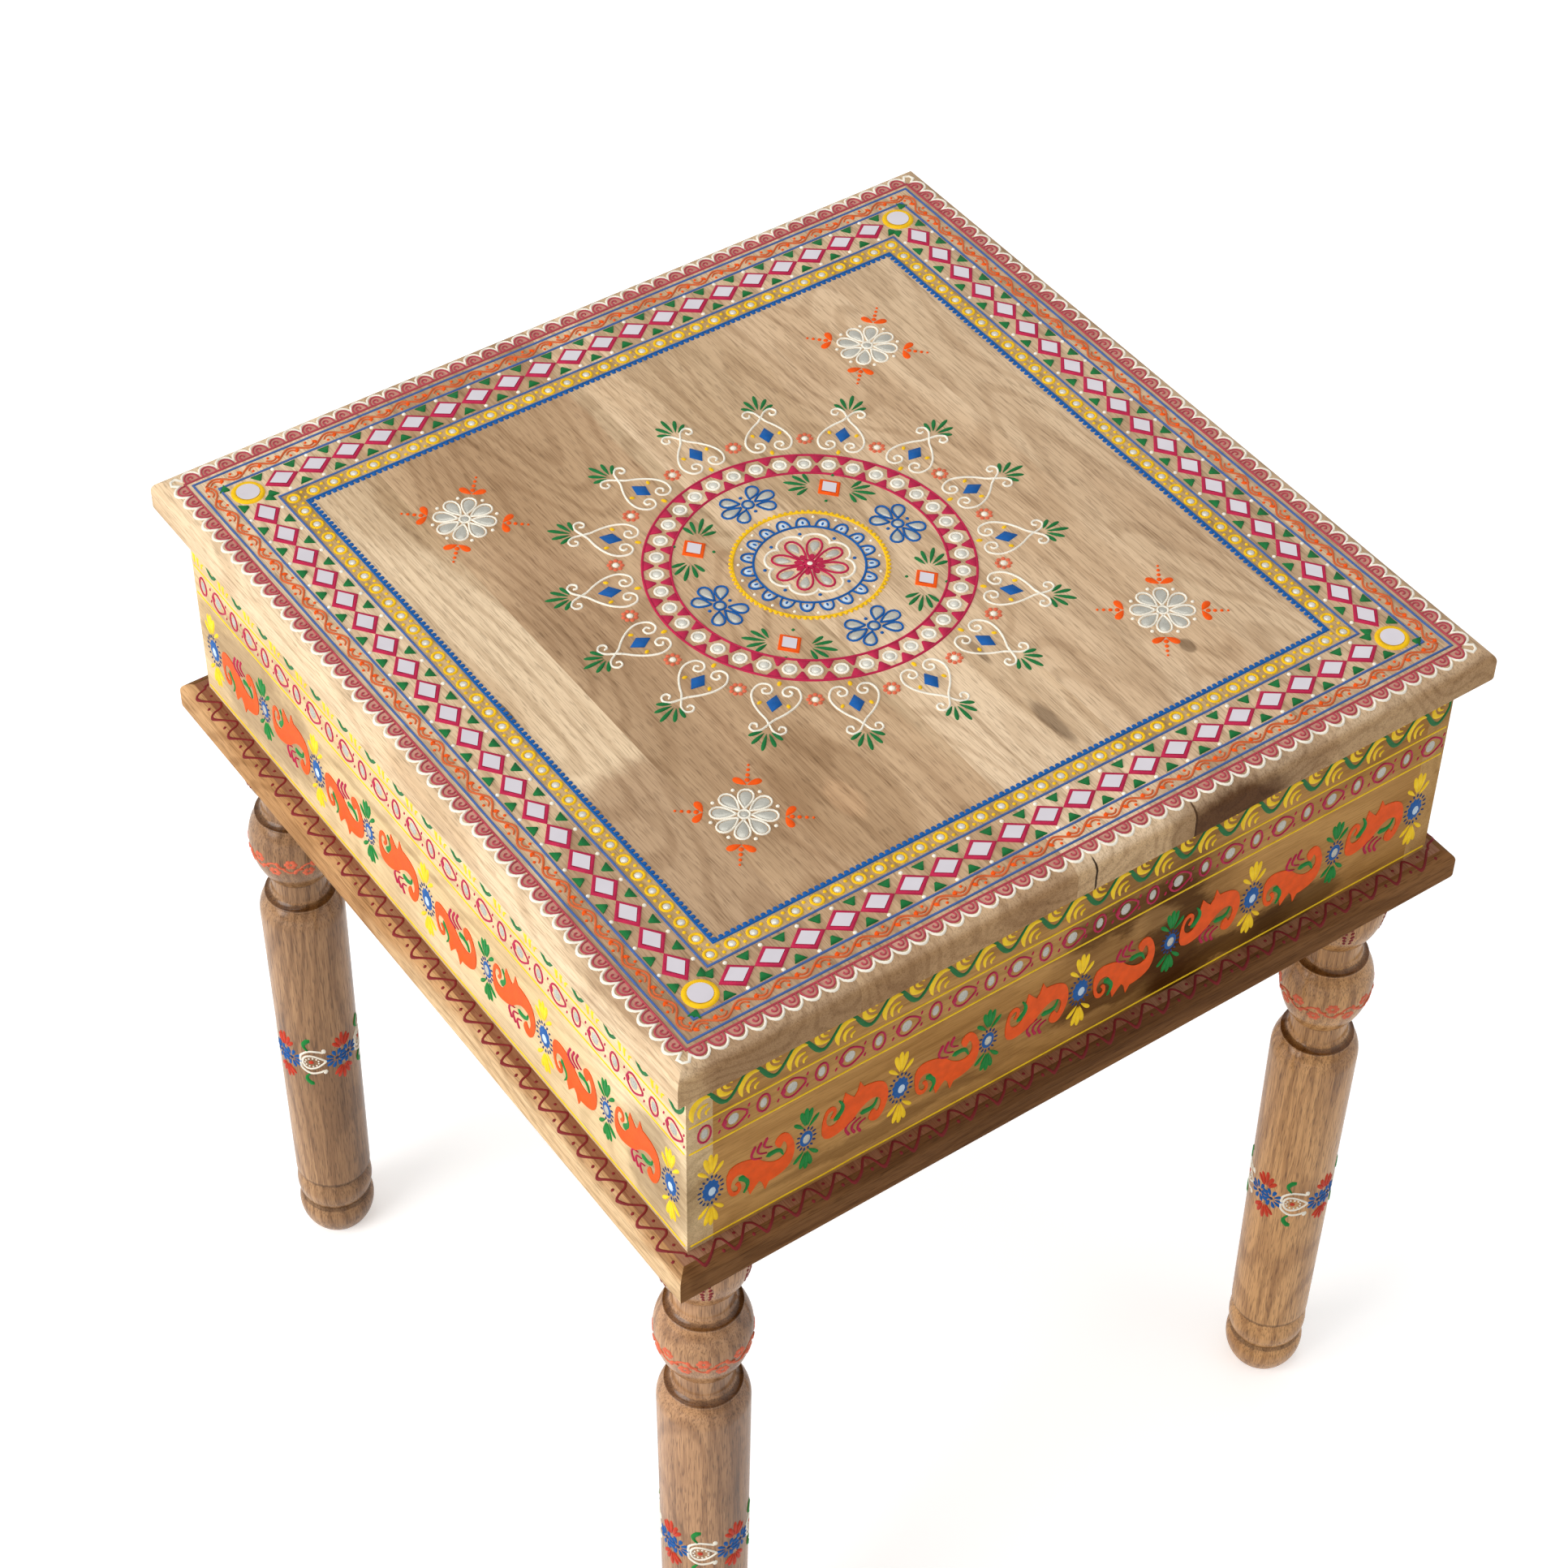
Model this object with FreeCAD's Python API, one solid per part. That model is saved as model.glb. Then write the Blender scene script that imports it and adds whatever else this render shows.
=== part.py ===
"""Square painted coffee table: hinged plank lid on a storage box, moulded base, four turned legs."""
import FreeCAD, Part
import math
import os

from FreeCAD import Vector

# Driving dimensions, in millimetres
BOX_SIDE = 380.0
WALL_HEIGHT = 100.0
WALL_THICKNESS = 12.0
PANEL_THICKNESS = 6.0
PANEL_CLEARANCE = 0.3

LID_OVERHANG = 10.0
LID_THICKNESS = 18.0
LID_TOP_ROUND = 6.0
LID_UNDER_ROUND = 4.0
LID_GAP = 0.3

BASE_OVERHANG = 10.0
BASE_THICKNESS = 18.0
BASE_WIDTH = 52.0
BASE_TOP_ROUND = 5.0
BASE_UNDER_ROUND = 5.0

# Board seams, as shares of half the lid's side from its middle
SEAM_SHARES = (-0.59, -0.08, 0.21, 0.58)

# Turned legs, heights from the top down
LEG_LENGTH = 352.0
LEG_INSET = 22.0
LEG_TOP_RADIUS = 18.5
LEG_BALL_RADIUS = 20.8
LEG_BALL_FOOT_RADIUS = 14.2
LEG_NECK_RADIUS = 13.2
LEG_RIM_RADIUS = 16.4
LEG_LIP_SWELL = 0.5
LEG_SHAFT_TOP_RADIUS = 20.0
LEG_SHAFT_FOOT_RADIUS = 18.6
LEG_GROOVE_RADIUS = 16.7
LEG_BEAD_RADIUS = 18.8
LEG_FLOOR_RADIUS = 12.5
LEG_CROWN_HEIGHT = 39.0
LEG_CROWN_CREST = 17.0
LEG_STEP_HEIGHT = 0.8
LEG_NECK_HEIGHT = 9.0
LEG_COVE_HEIGHT = 4.0
LEG_LIP_HEIGHT = 1.4
LEG_BALL_HEIGHT = 38.0
LEG_BALL_CREST = 15.0
LEG_SHOULDER_HEIGHT = 11.0
LEG_GROOVE_HEIGHT = 1.6
LEG_BEAD_HEIGHT = 19.0
LEG_FOOT_HEIGHT = 23.0
LEG_FOOT_CREST = 6.5

# Leg fixings: hanger bolt from the leg into a threaded insert in a corner block
BLOCK_SIDE = 40.0
BLOCK_HEIGHT = 26.0
BLOCK_CHAMFER = 16.0
BOLT_RADIUS = 4.0
BOLT_DEPTH_IN_LEG = 45.0
INSERT_RADIUS = 6.0
INSERT_LENGTH = 18.0
FIXING_CLEARANCE = 0.1

# Wall and base fixings
DOWEL_RADIUS = 3.0
DOWEL_LENGTH = 26.0
DOWEL_COVER = 2.5
DOWEL_HEIGHT_SHARES = (0.26, 0.74)
SCREW_RADIUS = 1.8
SCREW_HEAD_RADIUS = 3.6
SCREW_HEAD_HEIGHT = 2.2
BASE_SCREW_LENGTH = 40.0
BASE_SCREW_SHARE = 0.5

# Lid battens
BATTEN_END_CLEARANCE = 28.0
BATTEN_WIDTH = 34.0
BATTEN_THICKNESS = 12.0
BATTEN_SHARE = 0.5
BATTEN_CHAMFER = 3.0
BATTEN_SCREW_LENGTH = 22.0

# Butt hinges on the back wall
HINGE_SHARE = 0.58
HINGE_LENGTH = 50.0
HINGE_KNUCKLES = 5
HINGE_BARREL_RADIUS = 3.0
HINGE_PIN_RADIUS = 1.3
HINGE_PIN_HEAD_RADIUS = 2.4
HINGE_PIN_HEAD_HEIGHT = 1.0
HINGE_LEAF_THICKNESS = 1.2
HINGE_LEAF_REACH = 10.4
HINGE_WALL_CLEARANCE = 0.5
HINGE_KNUCKLE_GAP = 0.3
HINGE_PIN_CLEARANCE = 0.05
HINGE_RECESS_CLEARANCE = 0.3
HINGE_SCREW_OFFSETS = (-17.0, 0.0, 17.0)
HINGE_SCREW_RADIUS = 1.2
HINGE_SCREW_HEAD_RADIUS = 2.0
HINGE_SCREW_LENGTH = 11.0
LEAF_EDGE_INSET = 0.4

# Mirrors glued to the lid
MIRROR_THICKNESS = 0.8
BORDER_INSET = 30.5
BORDER_COUNT = 20
BORDER_MIRROR_LENGTH = 11.4
BORDER_MIRROR_WIDTH = 8.4
CORNER_MIRROR_RADIUS = 5.0
MEDALLION_SHARE = 0.1725
MEDALLION_MIRROR_WIDTH = 7.8
MEDALLION_MIRROR_LENGTH = 9.0

# Half is used often enough to have a name
HALF_SHARE = 0.5

# Heights that follow from the sizes above
BASE_BOTTOM = LEG_LENGTH
BASE_TOP = BASE_BOTTOM + BASE_THICKNESS
WALL_TOP = BASE_TOP + WALL_HEIGHT
LID_BOTTOM = WALL_TOP + LID_GAP
LID_TOP = LID_BOTTOM + LID_THICKNESS
PANEL_TOP = BASE_TOP + PANEL_THICKNESS
HALF_BOX = BOX_SIDE * HALF_SHARE
HALF_LID = HALF_BOX + LID_OVERHANG
HALF_BASE = HALF_BOX + BASE_OVERHANG
INNER_HALF = HALF_BOX - WALL_THICKNESS
WALL_MIDDLE = HALF_BOX - WALL_THICKNESS * HALF_SHARE
LEG_AXIS = HALF_BOX - LEG_INSET
HALF_BATTEN = INNER_HALF - BATTEN_END_CLEARANCE
BATTEN_OFFSET = HALF_BOX * BATTEN_SHARE
HINGE_OFFSET = HALF_BOX * HINGE_SHARE
BORDER_OFFSET = HALF_LID - BORDER_INSET
MEDALLION_OFFSET = HALF_LID * MEDALLION_SHARE
HINGE_Y = HALF_BOX + HINGE_WALL_CLEARANCE + HINGE_BARREL_RADIUS
HINGE_Z = WALL_TOP + LID_GAP * HALF_SHARE
CORNERS = {"front_left": (-1, -1), "front_right": (1, -1), "back_left": (-1, 1), "back_right": (1, 1)}
UP = Vector(0, 0, 1)
ALONG_X = Vector(1, 0, 0)


def block(x0, x1, y0, y1, z0, z1):
    """Rectangular solid between two corners."""
    return Part.makeBox(x1 - x0, y1 - y0, z1 - z0, Vector(x0, y0, z0))


def rod(radius, length, start, direction=UP):
    """Cylinder from a start point along a direction."""
    return Part.makeCylinder(radius, length, start, direction)


def group(solids):
    """Separate solids kept together in one node."""
    return Part.makeCompound(solids)


def cut_all(shape, tools):
    """Shape with every tool taken out of it."""
    for tool in tools:
        shape = shape.cut(tool)
    return shape


def line(start, end):
    return Part.makeLine(start, end)


def arc(start, through, end):
    return Part.Arc(start, through, end).toShape()


def rounded_slab(half, z0, z1, top_round, under_round):
    """Square slab whose rounded edges run round all four sides and meet in mitred corners."""
    slab = block(-half, half, -half, half, z0, z1)
    top = [edge for edge in slab.Edges if edge.BoundBox.ZMin > z1 - top_round]
    slab = slab.makeFillet(top_round, top)
    under = [edge for edge in slab.Edges if edge.BoundBox.ZMax < z0 + under_round]
    return slab.makeFillet(under_round, under).Solids[0]


def screw(length, tip_up, x, y, z, radius, head_radius, grow=0.0):
    """Countersunk screw. The flat of the head is at z, the shank runs up or down from it."""
    sign = 1 if tip_up else -1
    start = Vector(x, y, z)
    head = Part.makeCone(head_radius + grow, radius + grow, SCREW_HEAD_HEIGHT, start, UP * sign)
    shank = rod(radius + grow, length + grow, start, UP * sign)
    return head.fuse(shank).removeSplitter()


def base_screws(grow=0.0):
    """Two screws a side from under the base up into the middle of each wall."""
    places = []
    offset = HALF_BOX * BASE_SCREW_SHARE
    for along in (-offset, offset):
        for across in (-WALL_MIDDLE, WALL_MIDDLE):
            places += [(along, across), (across, along)]
    return [screw(BASE_SCREW_LENGTH, True, x, y, BASE_BOTTOM, SCREW_RADIUS, SCREW_HEAD_RADIUS, grow)
            for x, y in places]


def corner_dowels(grow=0.0):
    """Blind dowels from the left and right walls into the ends of the front and back walls."""
    dowels = []
    for sx, sy in CORNERS.values():
        for share in DOWEL_HEIGHT_SHARES:
            height = BASE_TOP + WALL_HEIGHT * share
            start = Vector(sx * (HALF_BOX - DOWEL_COVER + grow), sy * WALL_MIDDLE, height)
            dowels.append(rod(DOWEL_RADIUS + grow, DOWEL_LENGTH + grow + grow, start, ALONG_X * -sx))
    return dowels


def leg_bolts(grow=0.0):
    """Hanger bolts: lower half in the leg, upper half through the base and panel into the insert."""
    start = BASE_BOTTOM - BOLT_DEPTH_IN_LEG - grow
    length = PANEL_TOP + INSERT_LENGTH - start
    return [rod(BOLT_RADIUS + grow, length, Vector(sx * LEG_AXIS, sy * LEG_AXIS, start))
            for sx, sy in CORNERS.values()]


def leg_inserts():
    """Threaded sleeves in the corner blocks that take the hanger bolts."""
    sleeves = []
    for sx, sy in CORNERS.values():
        start = Vector(sx * LEG_AXIS, sy * LEG_AXIS, PANEL_TOP)
        bore = rod(BOLT_RADIUS + FIXING_CLEARANCE, INSERT_LENGTH, start)
        sleeves.append(rod(INSERT_RADIUS, INSERT_LENGTH, start).cut(bore))
    return sleeves


def leg():
    """Turned leg on the Z axis, floor at zero: one outline of lines and arcs, turned once round."""
    z = LEG_LENGTH
    edges = []
    last = Vector(LEG_TOP_RADIUS, 0, z)
    edges.append(line(Vector(0, 0, z), last))

    def straight(radius, drop):
        nonlocal last
        end = Vector(radius, 0, last.z - drop)
        edges.append(line(last, end))
        last = end

    def swell(crest_radius, crest_drop, radius, drop):
        nonlocal last
        end = Vector(radius, 0, last.z - drop)
        edges.append(arc(last, Vector(crest_radius, 0, last.z - crest_drop), end))
        last = end

    def sweep(radius, drop, upright_first):
        """Arc to a new radius, upright where it starts or where it ends."""
        nonlocal last
        across = radius - last.x
        bend = (across * across + drop * drop) / (across + across)
        half_drop = drop * HALF_SHARE
        aside = bend - math.copysign(math.sqrt(bend * bend - half_drop * half_drop), bend)
        middle = last.x + aside if upright_first else radius - aside
        end = Vector(radius, 0, last.z - drop)
        edges.append(arc(last, Vector(middle, 0, last.z - half_drop), end))
        last = end

    def egg(crest, height, foot_radius):
        """Round body that swells to the ball's radius and draws in to its foot."""
        sweep(LEG_BALL_RADIUS, crest, False)
        sweep(foot_radius, height - crest, True)

    def neck():
        """Step in, straight neck, and a cove that runs out to the lip of the next body."""
        straight(LEG_NECK_RADIUS, LEG_STEP_HEIGHT)
        straight(LEG_NECK_RADIUS, LEG_NECK_HEIGHT)
        sweep(LEG_RIM_RADIUS, LEG_COVE_HEIGHT, True)
        swell(LEG_RIM_RADIUS + LEG_LIP_SWELL, LEG_LIP_HEIGHT * HALF_SHARE, LEG_RIM_RADIUS, LEG_LIP_HEIGHT)

    egg(LEG_CROWN_CREST, LEG_CROWN_HEIGHT, LEG_BALL_FOOT_RADIUS)
    neck()
    egg(LEG_BALL_CREST, LEG_BALL_HEIGHT, LEG_BALL_FOOT_RADIUS)
    neck()
    sweep(LEG_SHAFT_TOP_RADIUS, LEG_SHOULDER_HEIGHT, False)
    below_shaft = LEG_GROOVE_HEIGHT + LEG_BEAD_HEIGHT + LEG_FOOT_HEIGHT
    straight(LEG_SHAFT_FOOT_RADIUS, last.z - below_shaft)
    straight(LEG_GROOVE_RADIUS, LEG_GROOVE_HEIGHT)
    sweep(LEG_BEAD_RADIUS, LEG_BEAD_HEIGHT * HALF_SHARE, False)
    sweep(LEG_GROOVE_RADIUS, LEG_BEAD_HEIGHT * HALF_SHARE, True)
    sweep(LEG_BEAD_RADIUS, LEG_FOOT_CREST, False)
    sweep(LEG_FLOOR_RADIUS, LEG_FOOT_HEIGHT - LEG_FOOT_CREST, True)
    edges.append(line(last, Vector(0, 0, 0)))
    edges.append(line(Vector(0, 0, 0), Vector(0, 0, z)))
    return Part.Face(Part.Wire(edges)).revolve(Vector(0, 0, 0), UP, 360)


def legs():
    """Four legs, each bored for its hanger bolt."""
    bored = leg().cut(rod(BOLT_RADIUS + FIXING_CLEARANCE, BOLT_DEPTH_IN_LEG + FIXING_CLEARANCE,
                          Vector(0, 0, LEG_LENGTH - BOLT_DEPTH_IN_LEG - FIXING_CLEARANCE)))
    nodes = {}
    for name, (sx, sy) in CORNERS.items():
        one = bored.copy()
        one.translate(Vector(sx * LEG_AXIS, sy * LEG_AXIS, 0))
        nodes["leg_" + name] = one
    return nodes


def base_mouldings():
    """Mitred frame: the rounded slab less its middle, cut along both diagonals into four lengths."""
    inner = HALF_BASE - BASE_WIDTH
    frame = rounded_slab(HALF_BASE, BASE_BOTTOM, BASE_TOP, BASE_TOP_ROUND, BASE_UNDER_ROUND)
    frame = frame.cut(block(-inner, inner, -inner, inner, BASE_BOTTOM, BASE_TOP))
    frame = cut_all(frame, base_screws(FIXING_CLEARANCE) + leg_bolts(FIXING_CLEARANCE))
    nodes = {}
    for name, angle in (("front", 0), ("right", 90), ("back", 180), ("left", 270)):
        tips = [Vector(0, 0, BASE_BOTTOM), Vector(-BOX_SIDE, -BOX_SIDE, BASE_BOTTOM),
                Vector(BOX_SIDE, -BOX_SIDE, BASE_BOTTOM), Vector(0, 0, BASE_BOTTOM)]
        wedge = Part.Face(Part.makePolygon(tips)).extrude(Vector(0, 0, BASE_THICKNESS))
        wedge.rotate(Vector(0, 0, 0), UP, angle)
        nodes["base_moulding_" + name] = frame.common(wedge)
    return nodes


def hinge_places():
    return (-HINGE_OFFSET, HINGE_OFFSET)


def leaf_recess(x, into_lid):
    """Room for one leaf in the lid or in the top of the back wall, and in the lid for the barrel."""
    half = HINGE_LENGTH * HALF_SHARE + HINGE_RECESS_CLEARANCE
    reach = HALF_BOX - LEAF_EDGE_INSET - HINGE_LEAF_REACH - HINGE_RECESS_CLEARANCE
    if not into_lid:
        return block(x - half, x + half, reach, HALF_BOX, WALL_TOP - HINGE_LEAF_THICKNESS, WALL_TOP)
    flat = block(x - half, x + half, reach, HINGE_Y, LID_BOTTOM, LID_BOTTOM + HINGE_LEAF_THICKNESS)
    half += HINGE_PIN_HEAD_HEIGHT
    start = Vector(x - half, HINGE_Y, HINGE_Z)
    return flat.fuse(rod(HINGE_BARREL_RADIUS + HINGE_RECESS_CLEARANCE, half + half, start, ALONG_X))


def hinge_screws(into_lid, grow=0.0):
    """Three screws a leaf, heads flush with the leaf's inner face."""
    y = HALF_BOX - LEAF_EDGE_INSET - HINGE_LEAF_REACH * HALF_SHARE
    z = LID_BOTTOM if into_lid else WALL_TOP
    return [screw(HINGE_SCREW_LENGTH, into_lid, x + offset, y, z, HINGE_SCREW_RADIUS,
                  HINGE_SCREW_HEAD_RADIUS, grow)
            for x in hinge_places() for offset in HINGE_SCREW_OFFSETS]


def hinge_leaf(x, on_lid):
    """Flat leaf with its share of the knuckles round the pin."""
    half = HINGE_LENGTH * HALF_SHARE
    reach = HALF_BOX - LEAF_EDGE_INSET - HINGE_LEAF_REACH
    edge = HALF_BOX - LEAF_EDGE_INSET
    z0 = LID_BOTTOM if on_lid else WALL_TOP - HINGE_LEAF_THICKNESS
    leaf = block(x - half, x + half, reach, edge, z0, z0 + HINGE_LEAF_THICKNESS)
    pitch = HINGE_LENGTH / HINGE_KNUCKLES
    width = pitch - HINGE_KNUCKLE_GAP
    for place in range(1 if on_lid else 0, HINGE_KNUCKLES, 2):
        start = x - half + place * pitch + HINGE_KNUCKLE_GAP * HALF_SHARE
        leaf = leaf.fuse(block(start, start + width, edge, HINGE_Y, z0, z0 + HINGE_LEAF_THICKNESS))
        leaf = leaf.fuse(rod(HINGE_BARREL_RADIUS, width, Vector(start, HINGE_Y, HINGE_Z), ALONG_X))
    bore_start = Vector(x - half, HINGE_Y, HINGE_Z)
    bore = rod(HINGE_PIN_RADIUS + HINGE_PIN_CLEARANCE, HINGE_LENGTH, bore_start, ALONG_X)
    return cut_all(leaf, [bore] + hinge_screws(on_lid, FIXING_CLEARANCE)).removeSplitter()


def hinge_pin(x):
    """Pin with a flat head at each end, just clear of the barrel."""
    half = HINGE_LENGTH * HALF_SHARE
    pin = rod(HINGE_PIN_RADIUS, HINGE_LENGTH, Vector(x - half, HINGE_Y, HINGE_Z), ALONG_X)
    for end in (x - half - HINGE_PIN_HEAD_HEIGHT, x + half):
        start = Vector(end, HINGE_Y, HINGE_Z)
        pin = pin.fuse(rod(HINGE_PIN_HEAD_RADIUS, HINGE_PIN_HEAD_HEIGHT, start, ALONG_X))
    return pin.removeSplitter()


def walls():
    """Front and back walls sit between the left and right ones."""
    tools = corner_dowels(FIXING_CLEARANCE) + base_screws(FIXING_CLEARANCE)
    nodes = {}
    for name, sign in (("left", -1), ("right", 1)):
        x0, x1 = sorted((sign * INNER_HALF, sign * HALF_BOX))
        nodes["wall_" + name] = cut_all(block(x0, x1, -HALF_BOX, HALF_BOX, BASE_TOP, WALL_TOP), tools)
    for name, sign in (("front", -1), ("back", 1)):
        y0, y1 = sorted((sign * INNER_HALF, sign * HALF_BOX))
        nodes["wall_" + name] = cut_all(block(-INNER_HALF, INNER_HALF, y0, y1, BASE_TOP, WALL_TOP), tools)
    recesses = [leaf_recess(x, False) for x in hinge_places()] + hinge_screws(False, FIXING_CLEARANCE)
    nodes["wall_back"] = cut_all(nodes["wall_back"], recesses)
    return nodes


def bottom_panel():
    """Thin panel that lies on the base mouldings inside the walls."""
    half = INNER_HALF - PANEL_CLEARANCE
    return cut_all(block(-half, half, -half, half, BASE_TOP, PANEL_TOP), leg_bolts(FIXING_CLEARANCE))


def corner_blocks():
    """Glue blocks in the inner corners of the box, bored for the inserts."""
    nodes = {}
    for name, (sx, sy) in CORNERS.items():
        near = INNER_HALF - BLOCK_SIDE
        points = [(INNER_HALF, INNER_HALF), (near, INNER_HALF), (near, INNER_HALF - BLOCK_CHAMFER),
                  (INNER_HALF - BLOCK_CHAMFER, near), (INNER_HALF, near), (INNER_HALF, INNER_HALF)]
        outline = Part.makePolygon([Vector(sx * x, sy * y, PANEL_TOP) for x, y in points])
        solid = Part.Face(outline).extrude(Vector(0, 0, BLOCK_HEIGHT))
        start = Vector(sx * LEG_AXIS, sy * LEG_AXIS, PANEL_TOP)
        solid = solid.cut(rod(INSERT_RADIUS + FIXING_CLEARANCE, INSERT_LENGTH + FIXING_CLEARANCE, start))
        nodes["corner_block_" + name] = solid
    return nodes


def board_edges():
    bounds = [-HALF_LID] + [share * HALF_LID for share in SEAM_SHARES] + [HALF_LID]
    return list(zip(bounds[:-1], bounds[1:]))


def batten_screws(grow=0.0):
    """One screw through each batten into the middle of every board that the batten crosses."""
    screws = []
    for x0, x1 in board_edges():
        middle = (max(x0, -HALF_BATTEN) + min(x1, HALF_BATTEN)) * HALF_SHARE
        for y in (-BATTEN_OFFSET, BATTEN_OFFSET):
            screws.append(screw(BATTEN_SCREW_LENGTH, True, middle, y, LID_BOTTOM - BATTEN_THICKNESS,
                                SCREW_RADIUS, SCREW_HEAD_RADIUS, grow))
    return screws


def lid_boards():
    """The rounded slab cut along its seams into boards that run front to back."""
    slab = rounded_slab(HALF_LID, LID_BOTTOM, LID_TOP, LID_TOP_ROUND, LID_UNDER_ROUND)
    tools = batten_screws(FIXING_CLEARANCE) + hinge_screws(True, FIXING_CLEARANCE)
    slab = cut_all(slab, tools + [leaf_recess(x, True) for x in hinge_places()])
    nodes = {}
    for number, (x0, x1) in enumerate(board_edges(), 1):
        strip = block(x0, x1, -HALF_LID, HALF_LID, LID_BOTTOM, LID_TOP)
        nodes["lid_board_%d" % number] = slab.common(strip)
    return nodes


def lid_battens():
    """Two bars across the boards under the lid, their lower edges planed off."""
    nodes = {}
    half_width = BATTEN_WIDTH * HALF_SHARE
    low = LID_BOTTOM - BATTEN_THICKNESS
    for name, y in (("front", -BATTEN_OFFSET), ("back", BATTEN_OFFSET)):
        section = [(-half_width, LID_BOTTOM), (half_width, LID_BOTTOM), (half_width, low + BATTEN_CHAMFER),
                   (half_width - BATTEN_CHAMFER, low), (BATTEN_CHAMFER - half_width, low),
                   (-half_width, low + BATTEN_CHAMFER), (-half_width, LID_BOTTOM)]
        outline = Part.makePolygon([Vector(-HALF_BATTEN, y + across, z) for across, z in section])
        bar = Part.Face(outline).extrude(Vector(HALF_BATTEN + HALF_BATTEN, 0, 0))
        nodes["lid_batten_" + name] = cut_all(bar, batten_screws(FIXING_CLEARANCE))
    return nodes


def lozenge(x, y, half_x, half_y):
    """Flat four-sided mirror lying on the lid, points along X and Y."""
    tips = [(x + half_x, y), (x, y + half_y), (x - half_x, y), (x, y - half_y), (x + half_x, y)]
    outline = Part.makePolygon([Vector(a, b, LID_TOP) for a, b in tips])
    return Part.Face(outline).extrude(Vector(0, 0, MIRROR_THICKNESS))


def mirrors():
    """Lozenges along the four sides, round mirrors at the corners, four lozenges in the middle."""
    pitch = (BORDER_OFFSET + BORDER_OFFSET) / (BORDER_COUNT + 1)
    half_length = BORDER_MIRROR_LENGTH * HALF_SHARE
    half_width = BORDER_MIRROR_WIDTH * HALF_SHARE
    border = []
    for place in range(1, BORDER_COUNT + 1):
        along = place * pitch - BORDER_OFFSET
        for side in (-BORDER_OFFSET, BORDER_OFFSET):
            border.append(lozenge(along, side, half_length, half_width))
            border.append(lozenge(side, along, half_width, half_length))
    rounds = []
    middle = []
    for sx, sy in CORNERS.values():
        centre = Vector(sx * BORDER_OFFSET, sy * BORDER_OFFSET, LID_TOP)
        rounds.append(rod(CORNER_MIRROR_RADIUS, MIRROR_THICKNESS, centre))
        middle.append(lozenge(sx * MEDALLION_OFFSET, sy * MEDALLION_OFFSET,
                              MEDALLION_MIRROR_WIDTH * HALF_SHARE, MEDALLION_MIRROR_LENGTH * HALF_SHARE))
    return {"border_mirrors": group(border), "corner_mirrors": group(rounds),
            "medallion_mirrors": group(middle)}


def hinges():
    """Leaves and pins of both hinges, and the screws of each side as a group."""
    nodes = {}
    for side, x in zip(("left", "right"), hinge_places()):
        nodes["hinge_%s_lid_leaf" % side] = hinge_leaf(x, True)
        nodes["hinge_%s_box_leaf" % side] = hinge_leaf(x, False)
        nodes["hinge_%s_pin" % side] = hinge_pin(x)
    nodes["hinge_lid_screws"] = group(hinge_screws(True))
    nodes["hinge_box_screws"] = group(hinge_screws(False))
    return nodes


def fixings():
    return {"corner_dowels": group(corner_dowels()), "base_screws": group(base_screws()),
            "leg_bolts": group(leg_bolts()), "leg_inserts": group(leg_inserts()),
            "batten_screws": group(batten_screws())}


def build():
    """Every node by name."""
    nodes = {"bottom_panel": bottom_panel()}
    makers = (legs, base_mouldings, walls, corner_blocks, lid_boards, lid_battens, mirrors, hinges, fixings)
    for maker in makers:
        nodes.update(maker())
    return nodes


os.makedirs("parts", exist_ok=True)
for node, shape in build().items():
    shape.exportStep("parts/%s.step" % node)
    print(node, "solids", len(shape.Solids), "valid", shape.isValid(), "volume", round(shape.Volume))
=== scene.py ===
"""Painted storage table: wood, fittings and hand-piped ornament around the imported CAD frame."""
import math
import random

import bpy
from bpy.props import FloatProperty, FloatVectorProperty, IntProperty, PointerProperty
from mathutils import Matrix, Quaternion, Vector


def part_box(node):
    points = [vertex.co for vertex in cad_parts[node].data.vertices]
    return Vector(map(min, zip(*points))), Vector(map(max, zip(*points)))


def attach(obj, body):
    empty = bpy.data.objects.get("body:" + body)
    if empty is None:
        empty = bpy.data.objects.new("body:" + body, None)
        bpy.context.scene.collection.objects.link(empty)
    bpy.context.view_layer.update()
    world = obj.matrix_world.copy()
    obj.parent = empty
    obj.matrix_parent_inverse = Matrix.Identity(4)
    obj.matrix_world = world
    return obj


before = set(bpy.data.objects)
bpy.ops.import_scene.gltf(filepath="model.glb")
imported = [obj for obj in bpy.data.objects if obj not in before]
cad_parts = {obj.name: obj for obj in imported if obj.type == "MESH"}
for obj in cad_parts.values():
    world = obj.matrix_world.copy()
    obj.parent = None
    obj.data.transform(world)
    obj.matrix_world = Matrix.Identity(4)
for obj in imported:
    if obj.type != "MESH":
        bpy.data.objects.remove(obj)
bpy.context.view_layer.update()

bl_info = {
    "name": "Painted storage table",
    "version": (1, 0, 0),
    "blender": (4, 5, 0),
    "location": "View3D > Sidebar > Table",
    "description": "Finishes a mango-wood storage table with raised paint and mirror work",
    "category": "Object",
}

MM = 0.001
TURN = 2 * math.pi
QUARTER = math.pi / 2

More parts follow.
